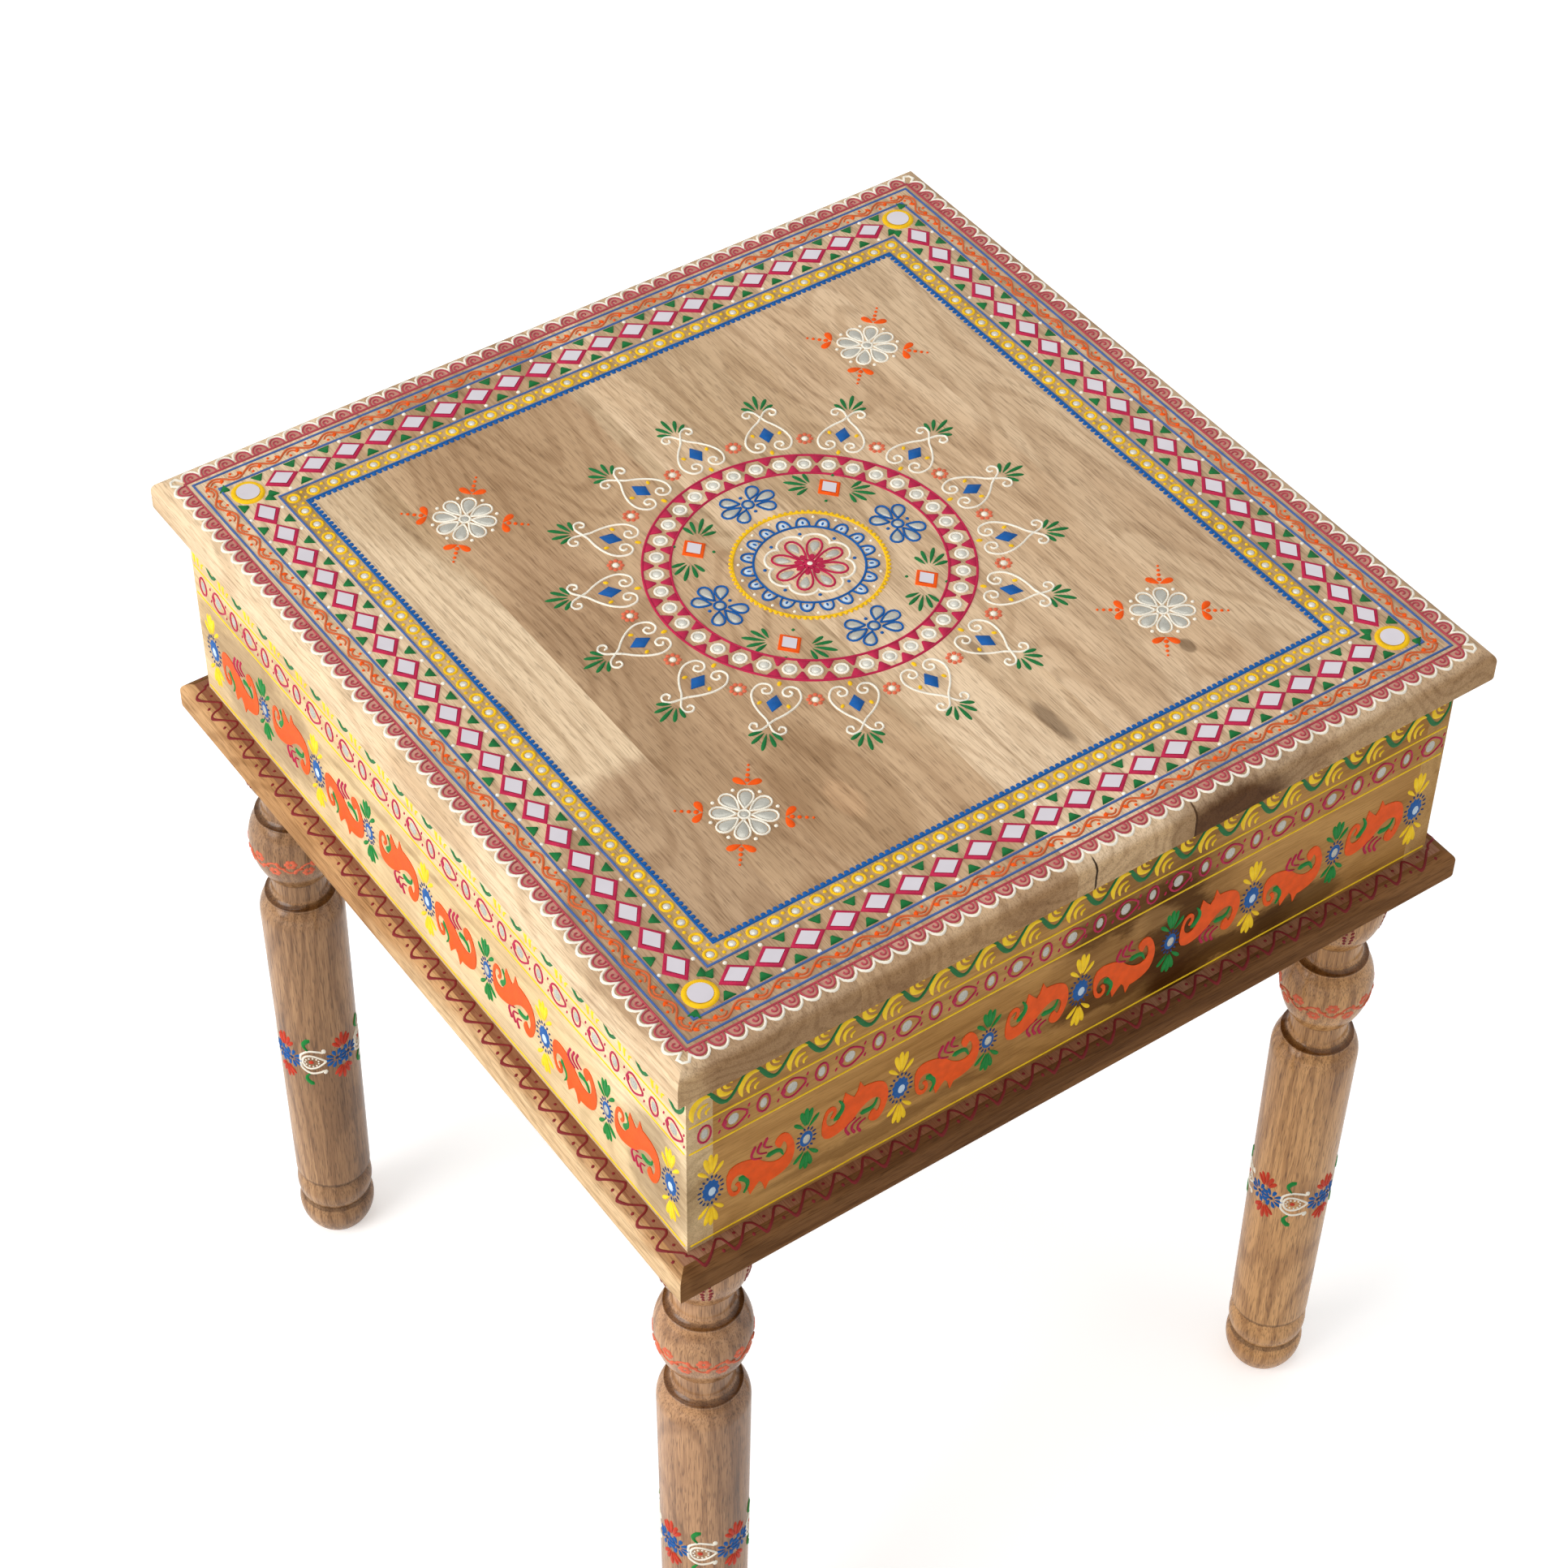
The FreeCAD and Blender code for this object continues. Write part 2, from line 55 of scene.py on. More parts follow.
# Places read from the frame, in millimetres
LID_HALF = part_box("lid_board_5")[1].x / MM
LID_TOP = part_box("lid_board_5")[1].z / MM
LID_ROUND = 6.0
WALL_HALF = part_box("wall_right")[1].x / MM
WALL_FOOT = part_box("wall_right")[0].z / MM
BASE_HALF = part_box("base_moulding_right")[1].x / MM
BASE_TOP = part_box("base_moulding_right")[1].z / MM
BASE_ROUND = 5.0
BORDER_MIRROR_HALF = 4.2
MIRROR_LINE = (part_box("border_mirrors")[1].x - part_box("border_mirrors")[0].x) / 2 / MM - BORDER_MIRROR_HALF
MEDALLION_MIRROR_HALF = 3.9
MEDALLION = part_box("medallion_mirrors")[1].x / MM - MEDALLION_MIRROR_HALF
LEGS = ("leg_front_left", "leg_front_right", "leg_back_left", "leg_back_right")
WALLS = ("front", "right", "back", "left")
# Cosine and sine of the quarter turns from the front to each wall
QUARTER_TURNS = ((1, 0), (0, 1), (-1, 0), (0, -1))
# Radius at which the paint of a leg is laid out flat
LEG_SPAN = 19.5


def linear(code):
    """Linear red, green and blue of an sRGB hex colour."""
    channels = [int(code[i:i + 2], 16) / 255 for i in (1, 3, 5)]
    return [c / 12.92 if c <= 0.04045 else ((c + 0.055) / 1.055) ** 2.4 for c in channels]


def colour(name, description, code):
    """Colour property whose default is an sRGB hex value."""
    return FloatVectorProperty(name=name, description=description, subtype="COLOR", size=3,
                               min=0.0, max=1.0, default=linear(code))


class TableSizes(bpy.types.PropertyGroup):
    """Sizes and counts of the painted ornament"""
    relief: FloatProperty(name="Relief", description="Height of the piped paint above the wood",
                          default=0.55 * MM, min=0.1 * MM, max=0.7 * MM, unit="LENGTH", precision=5)
    line: FloatProperty(name="Line", description="Width of the long piped lines",
                        default=1.1 * MM, min=0.3 * MM, max=3 * MM, unit="LENGTH", precision=5)
    border: FloatProperty(name="Border", description="Half side of the crimson line round the lid",
                          default=(LID_HALF - 11) * MM, min=0.1, max=LID_HALF * MM, unit="LENGTH")
    mandala: FloatProperty(name="Mandala", description="Radius of the ornament in the middle of the lid",
                           default=109 * MM, min=0.05, max=0.13, unit="LENGTH")
    scallops: IntProperty(name="Scallops", description="Scallops along one side of the lid",
                          default=46, min=4)
    hearts: IntProperty(name="Hearts", description="White heart scrolls round the mandala", default=16, min=4)
    waves: IntProperty(name="Vine waves", description="Waves of the green vine on one wall",
                       default=17, min=2)


class TableColours(bpy.types.PropertyGroup):
    """Colours of the paints"""
    crimson: colour("Crimson", "Thick crimson paint round the mirrors", "#B5264A")
    rose: colour("Rose", "Thin crimson lines on the wood", "#AC4650")
    white: colour("White", "Piped white paint", "#EFE8D8")
    blue: colour("Blue", "Blue paint", "#1A589C")
    slate: colour("Slate", "Thin blue lines on the wood", "#47639B")
    navy: colour("Navy", "Dark blue dots", "#2B3F6B")
    orange: colour("Orange", "Orange paint", "#EA5610")
    coral: colour("Coral", "Thin orange paint on the legs and the small lid flowers", "#D4684A")
    brick: colour("Brick", "Red fans on the legs", "#C23E28")
    rust: colour("Rust", "Thin orange lines on the wood", "#CB6337")
    yellow: colour("Yellow", "Yellow paint", "#EDBC1B")
    sun: colour("Sun yellow", "Brighter yellow of the walls", "#FFD12A")
    green: colour("Green", "Green paint", "#1C6C37")
    leaf: colour("Leaf", "Brighter green of the walls and legs", "#1C8038")
    maroon: colour("Maroon", "Dark red paint on the base", "#7C2A2C")
    pale: colour("Pale blue", "Highlight in the blue flowers", "#C3D5E4")
    silver: colour("Silver", "Silver paint of the petals", "#B3B1A7")
    pearl: colour("Pearl", "Pearl paint of the beads", "#CFCCC1")


def feed(tree, node, inputs):
    """Links the inputs of a node to sockets, or fills them with values."""
    for key, value in inputs.items():
        if isinstance(value, bpy.types.NodeSocket):
            tree.links.new(value, node.inputs[key])
        else:
            node.inputs[key].default_value = value


def add(tree, kind, inputs=None, **settings):
    """Adds a node with its settings and links."""
    node = tree.nodes.new(kind)
    for key, value in settings.items():
        setattr(node, key, value)
    feed(tree, node, inputs or {})
    return node


def new_material(name):
    """Empty node material with its shader and output."""
    material = bpy.data.materials.new(name)
    material.use_nodes = True
    tree = material.node_tree
    tree.nodes.clear()
    shader = add(tree, "ShaderNodeBsdfPrincipled")
    add(tree, "ShaderNodeOutputMaterial", {"Surface": shader.outputs["BSDF"]})
    return material, tree, shader


def dress(piece, material):
    """Gives a CAD piece one material."""
    piece.data.materials.clear()
    piece.data.materials.append(material)


GRAIN_AXES = {"X": (1, 0, 0), "Y": (0, 1, 0), "Z": (0, 0, 1)}
# Noise that makes up the wood: width across the grain in mm, length along it in widths, detail.
# Real pores are about 0.2 mm wide and are drawn twice as wide, so that they show.
WOOD_NOISE = {"clouds": (42.0, 4.5, 2.0), "figure": (64.0, 4.2, 1.4), "streaks": (3.0, 36.0, 2.0),
              "fibres": (0.8, 34.0, 2.0), "pores": (0.42, 16.0, 0.0)}
GROWTH_LINES = 19.0
# Torn edge of a stain: its grain in mm, its stretch along the wood, and the shift that clears a hidden face
STAIN_GRAIN, STAIN_STRETCH, STAIN_CLEAR = 11.0, 0.4, 3.0
# Tone that darkens the wood: noise, where it starts, where it is full, how strong, colour
WOOD_TONES = (("growth", 0.1, 1.0, 0.30, "#AC977F"), ("streaks", 0.46, 0.74, 0.32, "#A18E76"),
              ("fibres", 0.44, 0.74, 0.34, "#927D69"), ("pores", 0.56, 0.70, 0.34, "#716255"),
              ("ends", 0.55, 0.95, 0.55, "#CDAE6C"))


def mango_wood(name, grain, light, dark, seed, wash=None, strength=0.0, patches=(), contrast=1.0,
               lacquer=0.1, haze=0.28, inside=(0, 0, 0)):
    """Sanded mango under satin lacquer: soft clouds, arched growth lines, streaks and fine pores."""
    material, tree, shader = new_material(name)
    axis = GRAIN_AXES[grain]
    coordinates = add(tree, "ShaderNodeTexCoord").outputs
    spot = coordinates["Object"]
    place = add(tree, "ShaderNodeVectorMath", {0: spot, 1: (0.37 * seed, 0.61 * seed, 0.83 * seed)},
                operation="ADD").outputs[0]
    noise = {}
    for layer, (width, length, detail) in WOOD_NOISE.items():
        stretched = add(tree, "ShaderNodeVectorMath", {0: place, 1: [1 / length if a else 1.0 for a in axis]},
                        operation="MULTIPLY").outputs[0]
        noise[layer] = add(tree, "ShaderNodeTexNoise", {"Vector": stretched, "Scale": 1 / (width * MM),
                                                        "Detail": detail}).outputs["Fac"]
    turns = add(tree, "ShaderNodeMath", {0: noise["figure"], 1: TURN * GROWTH_LINES},
                operation="MULTIPLY").outputs[0]
    noise["growth"] = add(tree, "ShaderNodeMath", {0: turns}, operation="SINE").outputs[0]
    facing = add(tree, "ShaderNodeVectorMath", {0: coordinates["Normal"], 1: axis},
                 operation="DOT_PRODUCT").outputs["Value"]
    noise["ends"] = add(tree, "ShaderNodeMath", {0: facing}, operation="ABSOLUTE").outputs[0]

    # Clouds first, then sapwood, stains, knots and spots of painted shade and highlight, and the grain over
    # them all
    coats = [(noise["clouds"], 0.36, 0.64, 1.0, dark, "MIX")]
    drawn = add(tree, "ShaderNodeVectorMath", {0: spot, 1: [STAIN_STRETCH if a else 1.0 for a in axis]},
                operation="MULTIPLY").outputs[0]
    tear = add(tree, "ShaderNodeTexNoise", {"Vector": drawn, "Scale": 1 / (STAIN_GRAIN * MM), "Detail": 8.0,
                                            "Roughness": 0.7}).outputs["Color"]
    # A stain on a wall stays off the face that looks inside
    turned = add(tree, "ShaderNodeVectorMath", {0: coordinates["Normal"], 1: inside},
                 operation="DOT_PRODUCT").outputs["Value"]
    inner = add(tree, "ShaderNodeMath", {0: turned, 1: 0.0}, operation="MAXIMUM").outputs[0]
    for middle, half, ragged, most, code in patches:
        torn = add(tree, "ShaderNodeVectorMath", {0: tear, 1: [ragged * MM] * 3, 2: spot},
                   operation="MULTIPLY_ADD").outputs[0]
        centred = add(tree, "ShaderNodeVectorMath", {0: torn, 1: [(m + ragged / 2) * MM for m in middle]},
                      operation="SUBTRACT").outputs[0]
        shrunk = add(tree, "ShaderNodeVectorMath", {0: centred, 1: [1 / (h * MM) for h in half]},
                     operation="MULTIPLY").outputs[0]
        reach = add(tree, "ShaderNodeVectorMath", {0: shrunk}, operation="LENGTH").outputs["Value"]
        away = add(tree, "ShaderNodeMath", {0: inner, 1: STAIN_CLEAR, 2: reach},
                   operation="MULTIPLY_ADD").outputs[0]
        soft = min(0.3, 0.25 * ragged / min(half))
        coats.append((away, 1 + soft, 1 - soft, most, code, "MIX"))
    coats += [(noise[layer], low, high, most * contrast, code, "MULTIPLY")
              for layer, low, high, most, code in WOOD_TONES]
    tone = (*linear(light), 1)
    for value, low, high, most, code, blend in coats:
        share = add(tree, "ShaderNodeMapRange", {"Value": value, "From Min": low, "From Max": high,
                                                 "To Max": most}, interpolation_type="SMOOTHSTEP").outputs[0]
        tone = add(tree, "ShaderNodeMix", {0: share, 6: tone, 7: (*linear(code), 1)}, data_type="RGBA",
                   blend_type=blend).outputs[2]
    if wash:
        tone = add(tree, "ShaderNodeMix", {0: strength, 6: tone, 7: (*linear(wash), 1)},
                   data_type="RGBA").outputs[2]
    gloss = add(tree, "ShaderNodeMapRange", {"Value": noise["fibres"], "From Min": 0.3, "From Max": 0.7,
                                             "To Min": 0.50, "To Max": 0.64}).outputs[0]
    bump = add(tree, "ShaderNodeBump", {"Height": noise["pores"], "Strength": 0.25, "Distance": 0.15 * MM},
               invert=True)
    feed(tree, shader, {"Base Color": tone, "Roughness": gloss, "Normal": bump.outputs["Normal"],
                        "Specular IOR Level": 0.0, "Coat Weight": lacquer, "Coat Roughness": haze})
    return material


def piped_paint(name, shade, metallic=0.0, roughness=0.46):
    """Acrylic relief paint squeezed from a cone: satin, thick, a little uneven in tone and surface."""
    material, tree, shader = new_material(name)
    spot = add(tree, "ShaderNodeTexCoord").outputs["Object"]
    mottle, grit = [add(tree, "ShaderNodeTexNoise", {"Vector": spot, "Scale": 1 / (width * MM),
                                                     "Detail": detail}).outputs["Fac"]
                    for width, detail in ((5, 3.0), (0.7, 1.0))]
    deep = (*[c * 0.88 for c in shade], 1)
    bright = (*[min(1.0, c * 1.05) for c in shade], 1)
    share = add(tree, "ShaderNodeMapRange", {"Value": mottle, "From Min": 0.35, "From Max": 0.65}).outputs[0]
    tone = add(tree, "ShaderNodeMix", {0: share, 6: deep, 7: bright}, data_type="RGBA").outputs[2]
    gloss = add(tree, "ShaderNodeMapRange", {"Value": grit, "To Min": roughness - 0.07,
                                             "To Max": roughness + 0.07}).outputs[0]
    bump = add(tree, "ShaderNodeBump", {"Height": grit, "Strength": 0.25, "Distance": 0.12 * MM})
    feed(tree, shader, {"Base Color": tone, "Roughness": gloss, "Normal": bump.outputs["Normal"],
                        "Metallic": metallic, "Specular IOR Level": 0.08})
    return material


def worked_metal(name, code, roughness, streak, scratch):
    """Drawn, rolled or silvered metal: fine streaks along X and a slow change of tone from handling."""
    material, tree, shader = new_material(name)
    spot = add(tree, "ShaderNodeTexCoord").outputs["Object"]
    along = add(tree, "ShaderNodeVectorMath", {0: spot, 1: (streak, 1.0, 1.0)},
                operation="MULTIPLY").outputs[0]
    lines, cloud = [add(tree, "ShaderNodeTexNoise", {"Vector": place, "Scale": 1 / (width * MM),
                                                     "Detail": 2.0}).outputs["Fac"]
                    for place, width in ((along, 0.6), (spot, 9))]
    base = linear(code)
    tone = add(tree, "ShaderNodeMix", {0: cloud, 6: (*[c * 0.86 for c in base], 1), 7: (*base, 1)},
               data_type="RGBA").outputs[2]
    gloss = add(tree, "ShaderNodeMapRange", {"Value": lines, "To Min": roughness * 0.7,
                                             "To Max": roughness * 1.4}).outputs[0]
    bump = add(tree, "ShaderNodeBump", {"Height": lines, "Strength": scratch, "Distance": 0.04 * MM})
    feed(tree, shader, {"Base Color": tone, "Roughness": gloss, "Normal": bump.outputs["Normal"],
                        "Metallic": 1.0})
    return material


def paint_material(coat):
    """The material of one paint or wash, made once and named for what it is."""
    # A wash is thinned water paint rubbed into bare mango wood: a tint with the grain showing through.
    washes = {"pink_wash": ("#CB8580", 0.55), "yellow_wash": ("#D8B24A", 0.20),
              "maroon_wash": ("#7C3226", 0.55)}
    # Relief paint is acrylic piped from a cone: a rounded satin bead. Silver and pearl hold fine mica,
    # so they keep a soft metallic sheen.
    name = coat + "_on_mango" if coat in washes else coat + "_piped_acrylic"
    if name in bpy.data.materials:
        return bpy.data.materials[name]
    if coat in washes:
        tint, strength = washes[coat]
        return mango_wood(name, "Y", "#C6A987", "#AE8F6B", 3.0, tint, strength)
    shade = list(getattr(bpy.context.scene.table_colours, coat))
    if coat in ("silver", "pearl"):
        return piped_paint(name, shade, 0.25, 0.28)
    return piped_paint(name, shade)


# Outlines and paths, in millimetres

def circle(radius, count=14, tall=1.0):
    """Points round a circle, or an upright oval."""
    return [(radius * math.cos(TURN * i / count), tall * radius * math.sin(TURN * i / count))
            for i in range(count)]


def teardrop(length, width, count=14):
    """Drop with its point at the origin and its round end up."""
    points = []
    for i in range(count):
        t = TURN * (i + 0.5) / count
        points.append((-width / 2 * math.sin(t) * math.sin(t / 2) / 0.77, length * (1 - math.cos(t)) / 2))
    return points


def diamond(half_x, half_y):
    """Four corners of a lozenge."""
    return [(half_x, 0.0), (0.0, half_y), (-half_x, 0.0), (0.0, -half_y)]


def smooth(points, steps=4):
    """Smooth line through given points."""
    count = len(points)
    line = []
    for i in range(count - 1):
        a, b, c, d = [points[min(max(i + k, 0), count - 1)] for k in (-1, 0, 1, 2)]
        for step in range(steps):
            t = step / steps
            line.append(tuple(
                0.5 * (2 * q + (r - p) * t + (2 * p - 5 * q + 4 * r - s) * t * t
                       + (3 * q - p - 3 * r + s) * t ** 3)
                for p, q, r, s in zip(a, b, c, d)))
    return line + [tuple(points[-1])]


def wound(outline):
    """The outline, turned to run anticlockwise."""
    area = sum(outline[i - 1][0] * outline[i][1] - outline[i][0] * outline[i - 1][1]
               for i in range(len(outline)))
    return outline[::-1] if area < 0 else outline


def spiral(x, y, outer, inner, start, sweep, count=14):
    """Curl that winds from its outer radius in to its inner one."""
    points = []
    for i in range(count):
        t = i / (count - 1)
        radius = outer + (inner - outer) * t
        points.append((x + radius * math.cos(start + sweep * t), y + radius * math.sin(start + sweep * t)))
    return points


# Surfaces that take paint: along, across and height in millimetres become a point

def edge_drop(reach, half, radius):
    """How far a rounded edge has fallen away at this distance from the middle."""
    inside = min(max(reach - (half - radius), 0.0), radius * 0.98)
    return radius - math.sqrt(radius * radius - inside * inside)


def lid_plane(u, v, h):
    """Top of the lid with its rounded edge."""
    return u, v, LID_TOP + h - edge_drop(max(abs(u), abs(v)), LID_HALF, LID_ROUND)


def base_plane(u, v, h):
    """Ledge of the base moulding with its rounded edge."""
    return u, v, BASE_TOP + h - edge_drop(max(abs(u), abs(v)), BASE_HALF, BASE_ROUND)


def wall_plane(quarter):
    """Outside of one wall, quarter turns from the front."""
    c, s = QUARTER_TURNS[quarter]

    def place(u, v, h):
        y = -(WALL_HALF + h)
        return c * u - s * y, s * u + c * y, WALL_FOOT + v
    return place


def leg_round(node):
    """Turned surface of one leg, from the radii of its own mesh."""
    low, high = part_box(node)
    x, y = (low.x + high.x) / 2 / MM, (low.y + high.y) / 2 / MM
    profile = {}
    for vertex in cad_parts[node].data.vertices:
        level = round(vertex.co.z / MM, 2)
        radius = math.hypot(vertex.co.x / MM - x, vertex.co.y / MM - y)
        profile[level] = max(profile.get(level, 0.0), radius)
    levels = sorted(profile)

    def place(u, v, h):
        upper = next((i for i, level in enumerate(levels) if level >= v), len(levels) - 1)
        lower = max(upper - 1, 0)
        span = max(levels[upper] - levels[lower], 0.001)
        share = min(max((v - levels[lower]) / span, 0.0), 1.0)
        radius = profile[levels[lower]] * (1 - share) + profile[levels[upper]] * share + h
        return x + radius * math.sin(u / LEG_SPAN), y - radius * math.cos(u / LEG_SPAN), v
    return place


class Brush:
    """Gathers raised paint on one surface and makes one mesh of it."""
    dome = ((1.0, -0.05), (0.82, 0.55), (0.5, 0.88))
    plate = ((1.0, -0.05), (0.93, 0.9))
    section = ((-1.0, -0.05), (-0.6, 0.82), (0.6, 0.82), (1.0, -0.05))

    def __init__(self, surface, parent=None, axes=(1, 0, 0, 0, 1, 0)):
        self.surface = surface
        self.axes = axes
        self.points = parent.points if parent else []
        self.faces = parent.faces if parent else []
        self.coats = parent.coats if parent else []
        sizes = bpy.context.scene.table_sizes
        self.relief = sizes.relief / MM
        self.line = sizes.line / MM

    def at(self, u, v, turn=0.0, size=1.0, tall=None):
        """The same mesh, drawn from a new middle, turned and scaled."""
        tall = size if tall is None else tall
        a, b, c, d, e, f = self.axes
        cos, sin = math.cos(turn), math.sin(turn)
        p, q, r, s = size * cos, -tall * sin, size * sin, tall * cos
        return Brush(self.surface, self, (a * p + b * r, a * q + b * s, a * u + b * v + c,
                                          d * p + e * r, d * q + e * s, d * u + e * v + f))

    def round(self, radius, angle):
        """Drawn from a point on a circle, with up pointing outward."""
        return self.at(radius * math.cos(angle), radius * math.sin(angle), angle - QUARTER)

    def sides(self):
        """Drawn from the middle towards each of the four sides in turn."""
        return [self.at(0, 0, quarter * QUARTER) for quarter in range(4)]

    def _point(self, x, y, h):
        a, b, c, d, e, f = self.axes
        self.points.append(self.surface(a * x + b * y + c, d * x + e * y + f, h))

    def _face(self, coat, corners):
        a, b, _, d, e, _ = self.axes
        self.faces.append(corners if a * e - b * d > 0 else corners[::-1])
        self.coats.append(coat)

    def stroke(self, coat, path, width=None, closed=False, height=None):
        """Half-round bead along a path; width may be one number or one for each point."""
        width = self.line if width is None else width
        height = self.relief if height is None else height
        count = len(path)
        widths = list(width) if isinstance(width, (list, tuple)) else [width] * count
        start, across = len(self.points), len(self.section)
        for i, (x, y) in enumerate(path):
            before = path[i - 1] if i or closed else path[0]
            after = path[(i + 1) % count] if i < count - 1 or closed else path[-1]
            tx, ty = after[0] - before[0], after[1] - before[1]
            size = math.hypot(tx, ty) or 1.0
            nx, ny = -ty / size, tx / size
            sx, sy = after[0] - x, after[1] - y
            step = math.hypot(sx, sy)
            mitre = 1.0 / max(0.55, abs(nx * -sy + ny * sx) / step) if step else 1.0
            half = widths[i] / 2 * mitre
            for offset, lift in self.section:
                self._point(x + nx * half * offset, y + ny * half * offset, height * lift)
        for i in range(count if closed else count - 1):
            one, two = start + i * across, start + (i + 1) % count * across
            for j in range(across - 1):
                self._face(coat, (one + j, two + j, two + j + 1, one + j + 1))
        if not closed:
            for ring, back, (x, y), (px, py), w in (
                    (start, True, path[0], path[1], widths[0]),
                    (start + (count - 1) * across, False, path[-1], path[-2], widths[-1])):
                reach = math.hypot(x - px, y - py) or 1.0
                tip = len(self.points)
                self._point(x + (x - px) / reach * w / 2, y + (y - py) / reach * w / 2, -0.03)
                for j in range(across - 1):
                    corners = (ring + j + 1, tip, ring + j) if back else (ring + j, tip, ring + j + 1)
                    self._face(coat, corners)

    def mound(self, coat, outline, height=None, profile=None):
        """Domed or flat-topped blob inside a convex or star-shaped outline."""
        height = self.relief if height is None else height
        profile = profile or self.dome
        count = len(outline)
        outline = wound(outline)
        mx = sum(p[0] for p in outline) / count
        my = sum(p[1] for p in outline) / count
        start = len(self.points)
        for share, lift in profile:
            for x, y in outline:
                self._point(mx + (x - mx) * share, my + (y - my) * share, height * lift)
        self._point(mx, my, height)
        top = len(self.points) - 1
        for ring in range(len(profile) - 1):
            one, two = start + ring * count, start + (ring + 1) * count
            for i in range(count):
                j = (i + 1) % count
                self._face(coat, (one + i, one + j, two + j, two + i))
        last = start + (len(profile) - 1) * count
        for i in range(count):
            self._face(coat, (last + i, last + (i + 1) % count, top))

    def fill(self, coat, outline, height=None):
        """Flat coat of paint inside any outline, with a small edge."""
        height = self.relief * 0.45 if height is None else height
        count = len(outline)
        outline = wound(outline)
        start = len(self.points)
        for lift in (-0.03, height):
            for x, y in outline:
                self._point(x, y, lift)
        for i in range(count):
            j = (i + 1) % count
            self._face(coat, (start + i, start + j, start + count + j, start + count + i))
        self._face(coat, tuple(range(start + count, start + 2 * count)))

    def dot(self, coat, x, y, radius, count=8, height=None):
        """Round bead of paint."""
        self.at(x, y).mound(coat, circle(radius, count), height)

    def make(self, name, body):
        """Makes the mesh, with one material slot for each paint."""
        if not self.faces:
            raise RuntimeError(f"{name} has no paint")
        mesh = bpy.data.meshes.new(name)
        mesh.from_pydata([Vector(p) * MM for p in self.points], [], self.faces)
        names = sorted(set(self.coats))
        for coat in names:
            mesh.materials.append(paint_material(coat))
        mesh.polygons.foreach_set("material_index", [names.index(c) for c in self.coats])
        mesh.shade_smooth()
        mesh.set_sharp_from_angle(angle=math.radians(75))
        mesh.update()
        piece = bpy.data.objects.new(name, mesh)
        bpy.context.scene.collection.objects.link(piece)
        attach(piece, body)


# Motifs shared by several pieces

def fan(brush, coat, length, width, leaves=5, spread=1.15, shorter=0.62):
    """Drops spread like a palmette from one root, the middle one longest."""
    for i in range(leaves):
        side = 2 * i / (leaves - 1) - 1
        reach = length * (1 - (1 - shorter) * abs(side))
        brush.at(0, 0, -side * spread).mound(coat, [(x, y + 0.16 * length) for x, y in
                                                    teardrop(reach - 0.16 * length, width)])


def comma(brush, coat, length, width, bend=1.0):
    """Leaf stroke with a round head at the top and a curling tail."""
    path = smooth([(0.0, length * 0.5), (-0.22 * length * bend, length * 0.12),
                   (-0.18 * length * bend, -0.22 * length), (0.12 * length * bend, -0.5 * length)], 3)
    widths = [width * (1.0 - 0.78 * (i / (len(path) - 1)) ** 1.3) for i in range(len(path))]
    brush.stroke(coat, path, widths)


def petal(brush, outline, inside, length, width, line=0.9):
    """Silver drop with a piped outline, its point at the middle of the flower."""
    brush.mound(inside, [(x * 0.8, y * 0.86 + length * 0.07) for x, y in teardrop(length, width)])
    brush.stroke(outline, teardrop(length, width, 16), line, closed=True)


def shaken(points, hand, amount=0.12):
    """Slight wander of a hand-piped line."""
    return [(x + hand.uniform(-amount, amount), y + hand.uniform(-amount, amount)) for x, y in points]


def square(half, steps=24):
    """Points round a square, corner to corner."""
    corners = [(-half, -half), (half, -half), (half, half), (-half, half)]
    points = []
    for i in range(4):
        (x0, y0), (x1, y1) = corners[i], corners[(i + 1) % 4]
        points += [(x0 + (x1 - x0) * t / steps, y0 + (y1 - y0) * t / steps) for t in range(steps)]
    return points


def frame_band(brush, coat, outer, inner):
    """Thin tinted coat between two squares."""
    for side in brush.sides():
        side.fill(coat, [(-outer, -outer), (outer, -outer), (inner, -inner), (-inner, -inner)], 0.05)


